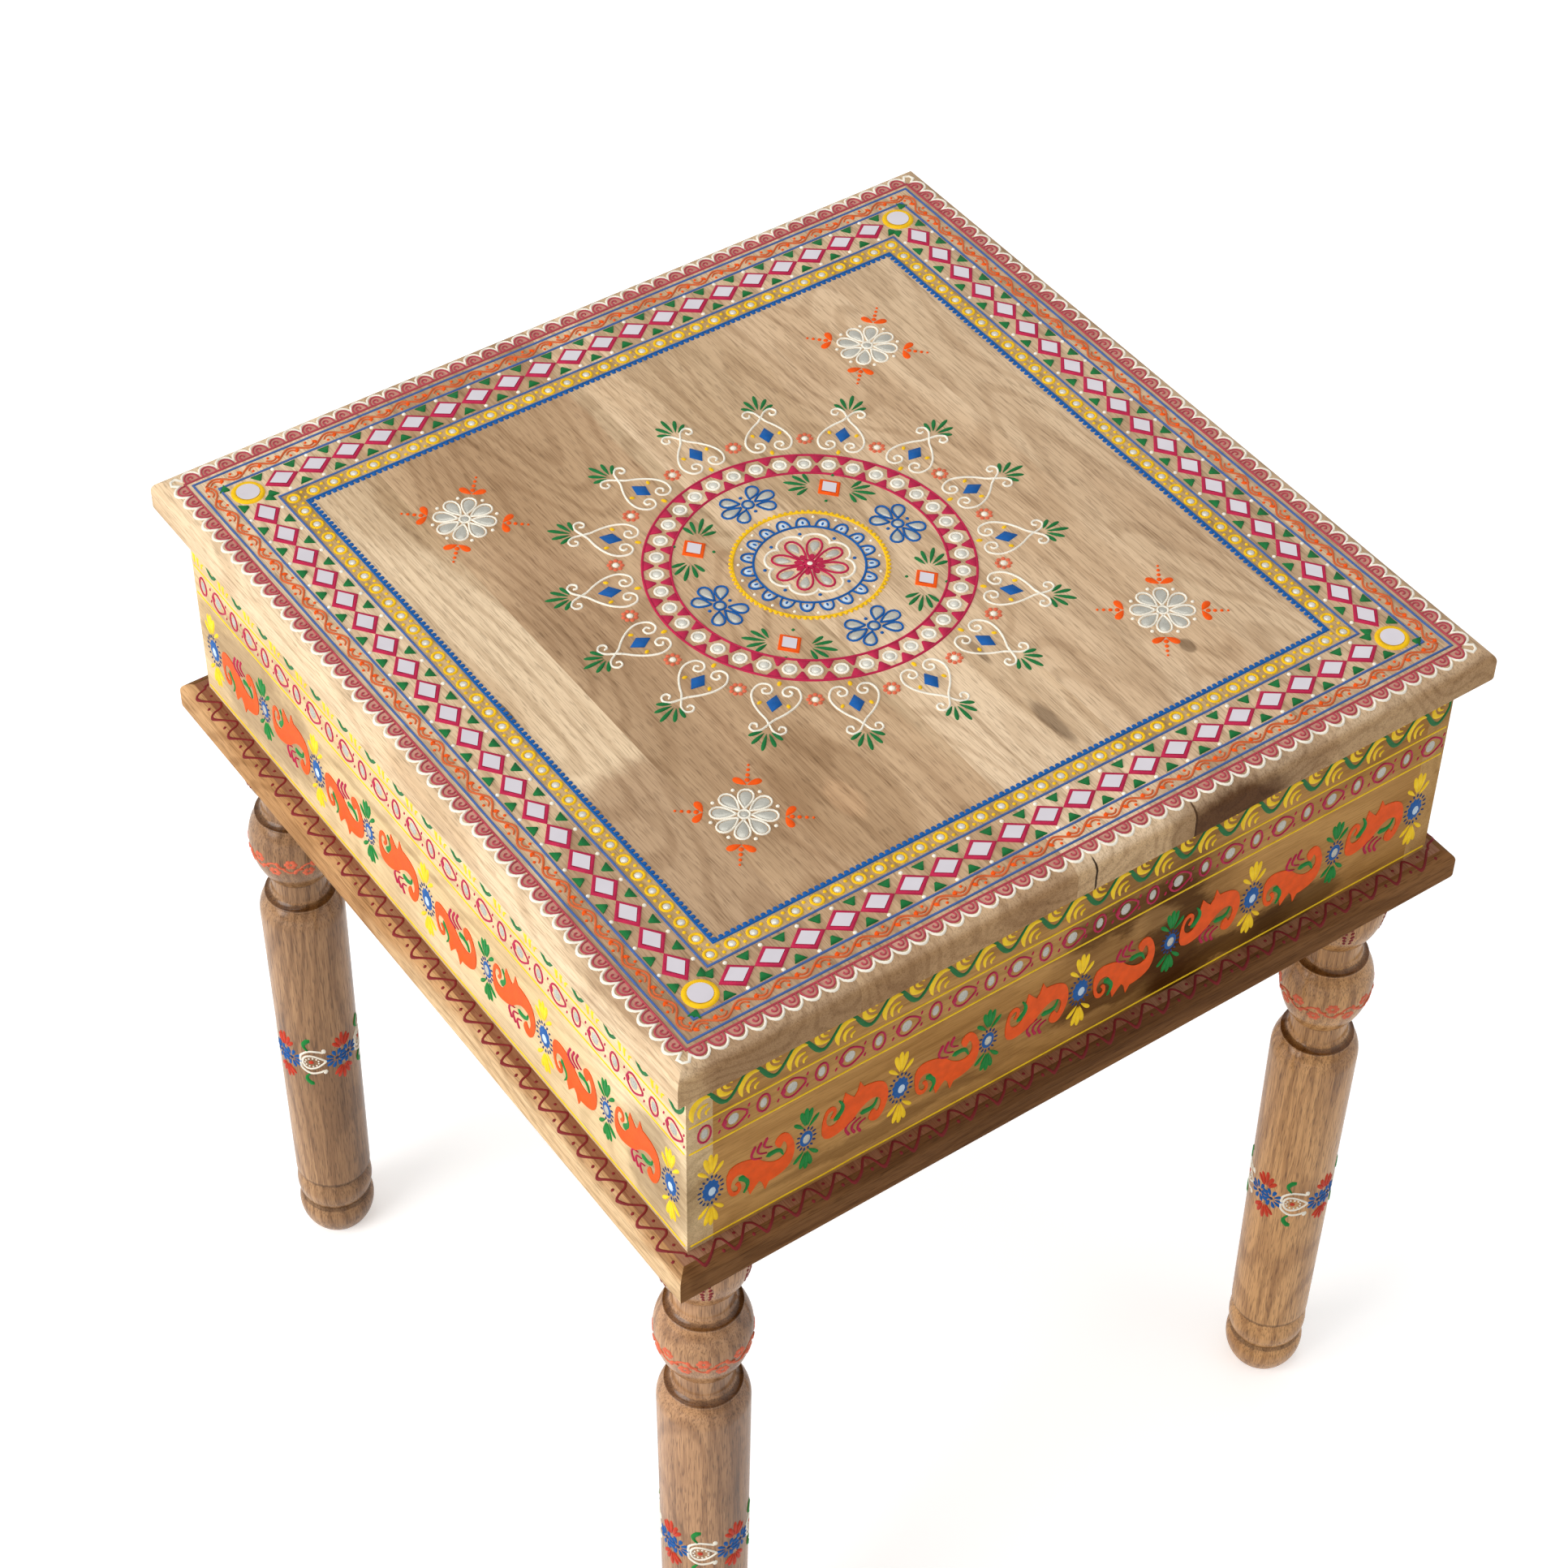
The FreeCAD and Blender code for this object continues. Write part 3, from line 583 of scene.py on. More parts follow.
class TABLE_OT_wood(bpy.types.Operator):
    """Give every board, wall, moulding and leg its own cut of mango wood"""
    bl_idname = "table.wood"
    bl_label = "Mango wood"

    boards = (("#E5CBA8", "#DABC97"), ("#CCAC88", "#B79674"), ("#E8CDAB", "#DABC98"),
              ("#E1C5A3", "#D2B390"), ("#D8BC9A", "#C8A987"))
    # Each wall and ledge has its own tones. The left side, facing the key lamp, gets much paler wood and the
    # front much darker wood than the hidden right and back. This is partly the wood's own difference and
    # partly painted light and painted shade.
    walls = {"front": ("#C4955A", "#AC7D45"), "right": ("#D2AC76", "#BE945E"),
             "back": ("#D0A972", "#BA905A"), "left": ("#EBD3AC", "#DFC294")}
    ledges = {"front": ("#8E643E", "#6E4A2C"), "right": ("#9A7048", "#7C5735"),
              "back": ("#987048", "#7C5836"), "left": ("#CCA274", "#B4875A")}
    # Each leg has its own tones, darkened for the shade under the table and set lighter or darker one by one.
    # This is partly the wood's own difference and partly painted shade and painted light.
    shafts = (("#BA8C62", "#9C724E"), ("#D29F68", "#B88652"), ("#B48A60", "#98714C"),
              ("#C29464", "#A6794A"))

    # Heights of the turned grooves, darkened as painted shade, and how wide that shade lies
    grooves = ((23.2, 1.9), (42.6, 1.9), (246.6, 1.0), (259.6, 1.1), (299.8, 1.0), (312.8, 1.1))
    # Way to the inside of the box from each wall
    inward = {"front": (0, 1, 0), "right": (-1, 0, 0), "back": (0, -1, 0), "left": (1, 0, 0)}

    def patches(self, node):
        """Sapwood, stains, knots, splits and a painted highlight: middle, half sizes, raggedness, strength,
        colour.
        """
        front, left, foot = -WALL_HALF, -WALL_HALF, WALL_FOOT
        edge, nose = -LID_HALF, LID_TOP - LID_ROUND
        return {
            "lid_board_1": (((-128, -150, LID_TOP), (70, 95, 400), 17, 0.85, "#B09070"),
                            ((-114, 120, LID_TOP), (12, 62, 100), 18, 0.75, "#B69671"),
                            ((-128, 140, LID_TOP), (20, 40, 100), 22, 0.5, "#BC9E7A"),
                            ((-150, -4, LID_TOP), (1.2, 7, 4), 2, 0.7, "#5E4630")),
            "lid_board_2": (((-67, -116, LID_TOP), (22, 44, 100), 14, 0.45, "#987653"),
                            ((-67, -118, LID_TOP), (6, 12, 100), 5, 0.65, "#CCA680"),
                            ((-106, -50, LID_TOP), (16, 100, 100), 20, 0.45, "#997A5B"),
                            ((-70, 128, LID_TOP), (42, 62, 100), 24, 0.5, "#A98865"),
                            ((-19, 40, LID_TOP), (5, 150, 100), 6, 0.6, "#D4BB98")),
            "lid_board_3": (((28, 118, LID_TOP), (24, 120, 100), 18, 0.7, "#B99A76"),
                            ((27, -104, LID_TOP), (8, 66, 100), 9, 0.3, "#B08F6A"),
                            ((26, -80, LID_TOP), (1.8, 9, 5), 3, 0.6, "#6A5038"),
                            ((26, -130, LID_TOP), (3.4, 14, 5), 5, 0.65, "#644C36"),
                            ((-7, edge, nose), (0.5, 5, 14), 2, 0.95, "#2E2118"),
                            ((38, edge, nose), (8, 20, 30), 8, 0.4, "#7D5B3C")),
            "lid_board_4": (((46, 110, LID_TOP), (12, 110, 100), 16, 0.6, "#BC9D79"),
                            ((98, -126, LID_TOP), (3.0, 4.5, 4), 2.5, 0.65, "#6F573F"),
                            ((60, edge, LID_TOP - 12), (28, 12, 11), 13, 0.9, "#4A240A"),
                            ((42.6, edge, nose), (0.5, 8, 14), 2, 0.95, "#2A1E15"),
                            ((70, edge, LID_TOP - 6), (40, 22, 22), 24, 0.4, "#7D5A3C")),
            "lid_board_5": (((162, -60, LID_TOP), (14, 60, 100), 16, 0.4, "#B0926F"),),
            "wall_front": (((34, front, foot + 42), (46, 100, 56), 46, 0.5, "#75502D"),
                           ((50, front, foot + 36), (17, 100, 36), 40, 0.8, "#44240A"),
                           ((22, front, foot + 62), (28, 100, 10), 32, 0.7, "#4E2C0E"),
                           ((18, front, foot + 20), (32, 100, 9), 32, 0.7, "#4E2C0E"),
                           ((74, front, foot + 9), (42, 100, 9), 28, 0.75, "#44240A"),
                           ((116, front, foot + 9), (26, 100, 10), 24, 0.7, "#4A2F16"),
                           ((36, front, foot + 50), (12, 100, 7), 18, 0.6, "#B98E5A"),
                           ((-96, front, foot + 12), (60, 100, 4), 14, 0.5, "#6A4522"),
                           ((-40, front, foot + 40), (30, 100, 2), 10, 0.4, "#6E4A26")),
            "wall_left": (((left, 138, foot + 34), (30, 52, 30), 46, 0.62, "#9A7F63"),
                          ((left, -170, foot + 30), (30, 22, 30), 30, 0.6, "#8B7053"),
                          ((left, 20, foot + 50), (30, 70, 2.5), 10, 0.4, "#A98C66")),
            # Painted highlight: a paler band along the rounded nose of the left ledge's near half, on the side
            # facing the key lamp
            "base_moulding_left": (((-BASE_HALF, -110, BASE_TOP - 11), (9, 130, 11), 12, 0.85, "#E0C197"),),
            "wall_right": (((-front, -60, foot + 30), (30, 46, 26), 40, 0.55, "#7A5A3A"),),
            "wall_back": (((86, -front, foot + 46), (50, 30, 22), 40, 0.55, "#755537"),),
        }.get(node, ())

    def execute(self, context):
        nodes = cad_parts
        woods = {}
        for i, tones in enumerate(self.boards):
            node = f"lid_board_{i + 1}"
            woods[node] = mango_wood(f"mango_{node}", "Y", *tones, 1.0 + i, patches=self.patches(node),
                                     contrast=0.85)
        for i, side in enumerate(WALLS):
            grain = "X" if side in ("front", "back") else "Y"
            wall, ledge = f"wall_{side}", f"base_moulding_{side}"
            woods[wall] = mango_wood(f"mango_{wall}", grain, *self.walls[side], 11.0 + i,
                                     patches=self.patches(wall), contrast=0.6, lacquer=0.05,
                                     inside=self.inward[side])
            woods[ledge] = mango_wood(f"mango_{ledge}", grain, *self.ledges[side], 17.0 + i,
                                      patches=self.patches(ledge), lacquer=0.05)
        for i, leg in enumerate(LEGS):
            low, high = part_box(leg)
            middle = (low + high) / 2 / MM
            # Painted shade: a dark band round each turned groove, where shade falls
            groove_shade = [((middle.x, middle.y, level), (60, 60, wide), 1.0, 0.5, "#4A3220")
                     for level, wide in self.grooves]
            woods[leg] = mango_wood(f"mango_{leg}", "Z", *self.shafts[i], 23.0 + i, patches=groove_shade,
                                    contrast=1.4, lacquer=0.6, haze=0.2)
        # Sawn battens and blocks are paler than the polished wood; rotary-cut plywood shows broad arches
        plain = mango_wood("sawn_batten_wood", "X", "#CBB28C", "#B89A72", 31.0)
        block = mango_wood("sawn_block_wood", "Z", "#C6AC86", "#B0926C", 33.0)
        layered = mango_wood("rotary_cut_plywood", "Y", "#D2B88F", "#C2A478", 35.0)
        for node in nodes:
            if node.startswith(("lid_batten", "corner_dowels")):
                woods[node] = plain
            elif node.startswith("corner_block"):
                woods[node] = block
            elif node == "bottom_panel":
                woods[node] = layered
        for node, material in woods.items():
            dress(nodes[node], material)
        return {"FINISHED"}


class TABLE_OT_fittings(bpy.types.Operator):
    """Finish the brass hinges, the steel fixings and the silvered mirrors"""
    bl_idname = "table.fittings"
    bl_label = "Fittings and mirrors"

    def execute(self, context):
        # Rolled brass gone dull, zinc-plated steel, and silvered glass that shows the room almost unbroken
        brass = worked_metal("rolled_brass", "#B8924A", 0.34, 0.2, 0.3)
        steel = worked_metal("zinc_plated_steel", "#A9ACAE", 0.36, 0.5, 0.3)
        mirror = worked_metal("silvered_mirror_glass", "#DFD9DF", 0.05, 1.0, 0.0)
        for node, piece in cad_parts.items():
            if node.endswith("mirrors"):
                dress(piece, mirror)
            elif node.startswith("hinge_"):
                dress(piece, brass)
            elif node.endswith(("screws", "bolts", "inserts")):
                dress(piece, steel)
        return {"FINISHED"}


class TABLE_OT_lid_border(bpy.types.Operator):
    """Pipe the scalloped edge, the lines, the wave and the pearl band round the lid"""
    bl_idname = "table.lid_border"
    bl_label = "Lid border"

    # Lines inside the crimson one, and how many waves, pearls and beads a side has
    insets = (2.6, 10.6, 29.2, 37.8)
    waves, pearls, beads = 20, 32, 110

    def execute(self, context):
        sizes = context.scene.table_sizes
        hand = random.Random(11)
        red = sizes.border / MM
        first, second, third, fourth = [red - inset for inset in self.insets]
        brush = Brush(lid_plane)
        frame_band(brush, "yellow_wash", third, fourth)
        brush.stroke("rose", shaken(square(red), hand), 1.1, closed=True)
        for half in (first, second, third):
            brush.stroke("slate", shaken(square(half), hand), None, closed=True)
        brush.stroke("blue", shaken(square(fourth), hand), 1.3, closed=True)

        pitch = 2 * red / sizes.scallops
        outline = []
        for side, (cos, sin) in zip(brush.sides(), QUARTER_TURNS):
            for k in range(sizes.scallops):
                middle = -red + (k + 0.5) * pitch + hand.uniform(-0.25, 0.25)
                loop = [(middle + 0.39 * pitch * math.cos(math.pi * t / 10),
                         -red - 0.3 - 4.7 * math.sin(math.pi * t / 10) ** 0.8) for t in range(11)]
                side.fill("pink_wash", loop, 0.06)
                side.stroke("rose", loop, 0.85)
                side.stroke("rose", spiral(middle + 0.1, -red - 2.0, 1.75, 0.5, 0.9, -4.6, 11), 0.8)
            run = []
            for k in range(sizes.scallops):
                deep = 4.2 + hand.uniform(-0.35, 0.35)
                run += [(-red + (k + t / 7) * pitch, -red - 2.4 - deep * math.sin(math.pi * t / 7) ** 0.6)
                        for t in range(7)]
            run.append((red, -red - 2.4))
            run += [(red + 2.4 + 2.8 * math.cos(a), -red - 2.4 + 2.8 * math.sin(a))
                    for a in (-1.7, -0.78, 0.14)]
            outline += [(cos * x - sin * y, sin * x + cos * y) for x, y in run]
        brush.stroke("white", outline, 1.15, closed=True)

        centre = (first + second) / 2
        period = 2 * centre / self.waves
        pearl_line = (third + fourth) / 2
        step = 2 * pearl_line / self.pearls
        for side in brush.sides():
            wave = [(-centre + t * period / 12, -centre + 2.3 * math.sin(TURN * t / 12))
                    for t in range(12 * self.waves + 1)]
            side.stroke("rust", shaken(wave, hand, 0.08), 1.0)
            for k in range(2 * self.waves):
                up = -1 if k % 2 else 1
                spot = side.at(-centre + (k + 0.5) * period / 2, -centre, 0.0, 1.0, up)
                spot.stroke("rust", smooth([(-1.9, -0.7), (-0.9, 0.5), (1.0, 0.7), (2.6, -0.6)], 3), 0.8)
                spot.at(-1.7, -1.7, 0.6).mound("orange", teardrop(2.7, 1.9))
                spot.dot("orange", 1.3, -1.9, 0.7, 6)
            for k in range(self.pearls):
                spot = side.at(-pearl_line + k * step + hand.uniform(-0.2, 0.2), -pearl_line)
                spot.stroke("yellow", circle(2.45, 12), 1.25, closed=True)
                spot.dot("pearl", 0, 0, 1.75, 8, 0.6)
                for across in (-1.9, 1.9):
                    spot.dot("yellow", step / 2 + hand.uniform(-0.2, 0.2), across, 0.9, 6)
            for k in range(self.beads):
                side.dot("blue", -fourth + (k + 0.5) * 2 * fourth / self.beads, -fourth + 1.1, 1.15, 6)
        brush.make("lid_border_paint", "lid")
        return {"FINISHED"}


class TABLE_OT_mirror_band(bpy.types.Operator):
    """Set each border mirror in piped crimson, with green triangles and white dots"""
    bl_idname = "table.mirror_band"
    bl_label = "Mirror band"

    # Lozenge mirrors along one side
    mirrors = 20

    def execute(self, context):
        brush = Brush(lid_plane)
        hand = random.Random(12)
        pitch = 2 * MIRROR_LINE / (self.mirrors + 1)
        triangle = [(-2.9, 7.7), (2.9, 7.7), (0.4, 3.9), (-0.4, 3.9)]
        for side in brush.sides():
            for k in range(self.mirrors + 1):
                u = -MIRROR_LINE + (k + 0.5) * pitch
                for across in (-1, 1):
                    spot = side.at(u + hand.uniform(-0.3, 0.3), -MIRROR_LINE, 0.0, 1.0, across)
                    spot.mound("green", triangle, 0.5, Brush.plate)
            for k in range(self.mirrors):
                spot = side.at(-MIRROR_LINE + (k + 1) * pitch, -MIRROR_LINE)
                spot.stroke("crimson", diamond(6.75, 5.25), 1.75, closed=True, height=0.72)
                for across in (-7.5, 7.5):
                    spot.dot("white", hand.uniform(-0.3, 0.3), across, 0.95)
            corner = side.at(-MIRROR_LINE, -MIRROR_LINE)
            corner.stroke("yellow", circle(6.0, 24), 2.5, closed=True, height=0.76)
            corner.at(0, 0, math.radians(135)).mound(
                "green", [(-2.7, 11.6), (2.7, 11.6), (0.4, 8.0), (-0.4, 8.0)], 0.5, Brush.plate)
        brush.make("lid_mirror_band_paint", "lid")
        return {"FINISHED"}


class TABLE_OT_rosettes(bpy.types.Operator):
    """Pipe the four silver rosettes near the corners of the lid"""
    bl_idname = "table.rosettes"
    bl_label = "Corner rosettes"

    def execute(self, context):
        brush = Brush(lid_plane)
        for quarter, side in enumerate(brush.sides()):
            flower = side.at(104, 103, quarter * 0.06)
            flower.stroke("white", circle(2.3, 12), 0.95, closed=True)
            flower.dot("silver", 0, 0, 1.8, 10)
            for k in range(8):
                leaf = flower.at(0, 0, k * TURN / 8)
                petal(leaf.at(0, 3.0), "white", "silver", 10.4, 6.2, 0.85)
                leaf.at(0, 0, TURN / 16).dot("white", 0, 13.7, 0.85, 8)
            for k in range(4):
                spray = flower.at(0, 0, (k + 0.5) * QUARTER)
                for lean in (-1, 1):
                    spray.at(0, 16.0, lean * 1.05).mound("orange", teardrop(6.6, 3.3))
                for reach, radius in ((18.6, 1.15), (21.4, 0.95), (24.2, 0.8), (26.8, 0.6)):
                    spray.dot("orange", 0, reach, radius, 7)
        brush.make("lid_rosettes", "lid")
        return {"FINISHED"}


class TABLE_OT_mandala(bpy.types.Operator):
    """Pipe the round ornament in the middle of the lid"""
    bl_idname = "table.mandala"
    bl_label = "Mandala"

    # Radius at which the motifs below are drawn, and how many loops, ring dots and beads there are
    drawn = 109
    loops, ring_dots, beads = 19, 84, 38

    def heart(self, brush):
        """White crossed scroll round a blue lozenge, with a green palmette outside."""
        for side in (-1, 1):
            half = brush.at(0, 0, 0.0, side, 1.0)
            lobe = smooth([(0.4, 12.6), (-1.6, 9.4), (-5.4, 5.4), (-8.7, 0.4), (-10.0, -5.0), (-8.0, -9.6),
                           (-4.4, -10.4), (-2.2, -8.0), (-2.9, -5.4), (-5.3, -5.1), (-6.1, -7.0),
                           (-4.8, -7.9)], 4)
            curl = smooth([(-1.6, 9.4), (0.4, 12.6), (2.4, 15.6), (5.2, 16.9), (7.3, 15.2), (6.7, 12.9),
                           (4.8, 12.8), (4.4, 14.3)], 4)
            half.stroke("white", lobe[2:], 0.95, height=0.5 + 0.06 * side)
            half.stroke("white", curl, 0.9, height=0.62 + 0.06 * side)
            half.at(5.9, 0.6, -0.5).mound("yellow", circle(0.85, 8, 1.45))
        brush.mound("blue", diamond(3.3, 5.0), 0.5, Brush.plate)
        brush.at(0, -11.6).mound("yellow", circle(0.95, 8, 1.6))
        fan(brush.at(0, 15.2), "green", 12.0, 1.9, 5, 1.0, 0.7)

    def execute(self, context):
        sizes = context.scene.table_sizes
        brush = Brush(lid_plane).at(0, 0, 0.0, sizes.mandala / MM / self.drawn)
        # Crimson flower inside a white scalloped line
        outline = []
        for i in range(96):
            a = TURN * i / 96
            radius = 15.6 + 3.3 * abs(math.cos(4 * a)) ** 0.6
            outline.append((radius * math.cos(a), radius * math.sin(a)))
        brush.stroke("white", outline, 1.05, closed=True)
        for k in range(8):
            leaf = brush.at(0, 0, k * TURN / 8)
            leaf.at(0, 2.2).mound("crimson", [(x * 0.5, y * 0.5) for x, y in teardrop(9, 4.6)], 0.35)
            leaf.at(0, 7.6).mound("silver", teardrop(7.0, 4.0), 0.5)
            leaf.at(0, 2.4).stroke("crimson", teardrop(13.6, 6.4, 18), 1.0, closed=True)
            leaf.at(0, 0, TURN / 16).dot("blue", 0, 19.0, 0.85)
        brush.dot("crimson", 0, 0, 3.3, 14, 0.6)
        brush.dot("white", 0, 0, 1.9, 12, 0.72)
        # Blue ring of loops, white dots and the yellow beaded ring
        brush.stroke("blue", circle(23.4, 60), 1.1, closed=True)
        arch = [(2.75 * math.cos(math.pi * t / 10), 0.4 + 4.9 * math.sin(math.pi * t / 10) ** 0.8)
                for t in range(11)]
        inlay = [(1.9 * math.cos(a * TURN / 12), 2.5 + 1.8 * math.sin(a * TURN / 12)) for a in range(12)]
        for k in range(self.loops):
            spot = brush.round(23.4, TURN * (k + 0.25) / self.loops)
            spot.mound("pale", inlay, 0.3)
            spot.stroke("blue", arch, 1.05)
            spot.at(0, 2.2).mound("blue", circle(0.65, 7, 1.9), 0.55)
            brush.round(29.6, TURN * (k + 0.75) / self.loops).dot("white", 0, 0, 0.75, 7)
        brush.stroke("yellow", circle(32.2, 72), 1.2, closed=True)
        for k in range(self.ring_dots):
            brush.round(32.9, TURN * k / self.ring_dots).dot("yellow", 0, 0, 0.95, 6, 0.7)
        # Blue flowers, mirrors and palmettes between the rings
        for k in range(4):
            flower = brush.round(45.0, k * QUARTER + QUARTER).at(0, 0, 0.06)
            for side in (-1, 1):
                for lean in (-0.72, 0.0, 0.72):
                    leaf = flower.at(0, 0, side * QUARTER + lean)
                    petal(leaf.at(0, 3.6), "blue", "silver", 8.2 if lean else 9.6, 5.4, 1.0)
                flower.dot("blue", 0, side * 5.2, 0.85)
            flower.stroke("blue", circle(2.5, 12), 1.0, closed=True)
            flower.dot("silver", 0, 0, 2.0, 10)
            angle = (k + 0.5) * QUARTER
            mirror = brush.at(math.copysign(MEDALLION, math.cos(angle)),
                              math.copysign(MEDALLION, math.sin(angle)))
            mirror.stroke("orange", diamond(4.9, 5.5), 1.7, closed=True, height=0.72)
            spray = mirror.at(0, 0, angle - QUARTER)
            for side in (-1, 1):
                fan(spray.at(side * 7.6, 0, -side * QUARTER), "green", 12.4, 1.9, 5, 0.95, 0.7)
                spray.dot("green", 0, side * 8.4, 0.75)
        # Crimson ring with ringed beads
        brush.stroke("crimson", circle(57.7, 120), 1.15, closed=True)
        brush.stroke("crimson", circle(69.3, 140), 1.15, closed=True)
        for k in range(self.beads):
            bead = brush.round(63.5, TURN * k / self.beads)
            bead.stroke("white", circle(2.7, 14), 1.1, closed=True)
            bead.dot("pearl", 0, 0, 2.15, 10, 0.7)
            gap = brush.round(63.5, TURN * (k + 0.5) / self.beads)
            for wide, up in ((3.2, 1), (2.7, -1)):
                wedge = [(-wide, up * 5.4), (wide, up * 5.4), (0.4, up * 0.9), (-0.4, up * 0.9)]
                gap.mound("crimson", wedge, 0.4, Brush.plate)
        # Hearts with small dot flowers between them
        for k in range(sizes.hearts):
            self.heart(brush.round(84.0, TURN * k / sizes.hearts + QUARTER))
            flower = brush.round(80.2, TURN * (k + 0.5) / sizes.hearts + QUARTER)
            for j in range(8):
                flower.round(2.75, j * TURN / 8).dot("coral", 0, 0, 1.05, 7)
            flower.dot("white", 0, 0, 1.45, 8, 0.7)
        brush.make("lid_mandala", "lid")
        return {"FINISHED"}


class TABLE_OT_wall_paint(bpy.types.Operator):
    """Paint the vine, the band of eyes and the flower frieze on the four walls"""
    bl_idname = "table.wall_paint"
    bl_label = "Wall paint"

    # Frieze figure, given about its middle, with its belly down
    figure = ((-14.7, 8.6), (-12.1, 9.9), (-8.5, 9.7), (-4.4, 8.3), (-1.0, 6.2), (1.8, 3.2), (5.4, 0.5),
              (8.8, -0.3), (11.4, 0.8), (12.7, 3.5), (12.4, 6.7), (11.1, 8.9), (10.3, 7.8), (9.3, 6.4),
              (7.8, 7.8), (7.0, 10.5), (8.3, 12.9), (10.9, 13.7), (13.4, 11.8), (15.2, 8.0), (16.3, 3.2),
              (15.8, -2.2), (14.0, -6.2), (10.6, -8.6), (6.5, -9.7))
    teeth = ((4.1, -9.9), (2.3, -13.6), (1.0, -8.9), (-0.5, -6.7), (-2.1, -8.3), (-4.9, -11.8), (-5.9, -8.1))
    curl = ((-6.2, -3.8), (-7.0, 0.0), (-9.3, 3.0), (-12.1, 3.0), (-13.7, 0.8), (-14.0, -2.2), (-12.9, -4.9),
            (-11.1, -5.6), (-10.6, -3.8), (-11.9, -1.6), (-10.6, -0.8), (-9.3, -2.7), (-9.3, -5.9),
            (-11.4, -7.8), (-14.0, -6.7), (-15.5, -2.7), (-16.0, 2.7), (-15.8, 6.2))

    # Nested crescents in the waves of the vine, and how thick each is in its middle
    crescents = ((((-4.0, 8.0), (-4.6, 3.6), (-3.0, -0.6), (0.4, -2.6), (3.6, -2.0)), 3.0),
                 (((-0.9, 8.0), (-1.3, 4.9), (-0.2, 2.4), (2.6, 1.6)), 1.5),
                 (((2.0, 7.6), (2.0, 5.8), (3.6, 4.6)), 0.8))
    # Heights above the foot of the wall, and how many eyes one wall has
    low, frieze, second, first, vine = 2.4, 30.5, 58.5, 74.0, 84.8
    eyes = 28

    def paisley(self, brush):
        """Orange serrated figure with green leaves and crimson feather strokes."""
        body = smooth(self.figure, 3) + list(self.teeth) + smooth(self.curl, 3)
        brush.fill("orange", body, 0.3)
        for x, y, turn, length in ((-8.0, -4.0, 0.25, 9.5), (7.6, 3.6, 1.15, 8.0)):
            comma(brush.at(x, y, turn, -1.0, 1.0), "leaf", length, 3.1, 0.9)
        for k, (x, y) in enumerate(((-1.6, 9.9), (1.1, 10.9), (3.8, 12.4))):
            comma(brush.at(x, y, 0.22, 1.0, 1.0), "crimson", 8.6 - k, 1.5, 1.3)

    def flower(self, brush, big):
        """Blue flower in a ring of dots, with palmettes above and below."""
        wide, tall = (5.3, 1.5) if big else (4.0, 1.5)
        beads = 17 if big else 14
        for k in range(beads):
            a = TURN * k / beads
            dash = brush.at(wide * math.cos(a), wide * tall * math.sin(a), a - QUARTER)
            dash.mound("navy", circle(0.55, 6, 1.9), 0.35)
        if big:
            outline = []
            for k in range(44):
                a = TURN * k / 44
                reach = 3.9 + 0.35 * math.cos(11 * a)
                outline.append((reach * math.cos(a), 1.55 * reach * math.sin(a)))
            brush.mound("blue", outline, 0.4)
            brush.at(0.3, -0.5).mound("pale", circle(2.3, 14, 1.5), 0.55)
        else:
            brush.mound("blue", circle(3.1, 14, 1.5), 0.3)
            brush.mound("silver", circle(2.1, 12, 1.5), 0.5)
        coat = "sun" if big else "leaf"
        for side in (1, -1):
            leafy = brush.at(0, side * (wide * tall - 0.6), 0.0, 1.0, side)
            fan(leafy, coat, 14.4 if big else 13.2, 2.5, 3, 0.21, 0.92)
            fan(leafy, coat, 9.0, 2.0, 2, 0.72, 1.0)

    def execute(self, context):
        sizes = context.scene.table_sizes
        for quarter, side in enumerate(WALLS):
            hand = random.Random(20 + quarter)
            brush = Brush(wall_plane(quarter))
            edge = WALL_HALF - 1.5
            for level in (self.low, self.second, self.first):
                line = [(-edge + 2 * edge * t / 24, level) for t in range(25)]
                brush.stroke("sun", shaken(line, hand, 0.15), 0.9, height=0.35)
            period = 2 * edge / sizes.waves
            # Green hooks, thick where they start and thin where they rise under the next crescent
            for k in range(sizes.waves):
                phases = [0.36 + 0.8 * t / 12 for t in range(13)]
                hook = [(min(-edge + (k + p) * period, edge), self.vine + 6.0 * math.sin(TURN * p))
                        for p in phases]
                widths = [1.1 + 1.2 * math.sin(math.pi * (t / 12) ** 0.6) for t in range(13)]
                brush.stroke("green", hook, widths, height=0.35)
            for k in range(2 * sizes.waves):
                up = -1 if k % 2 else 1
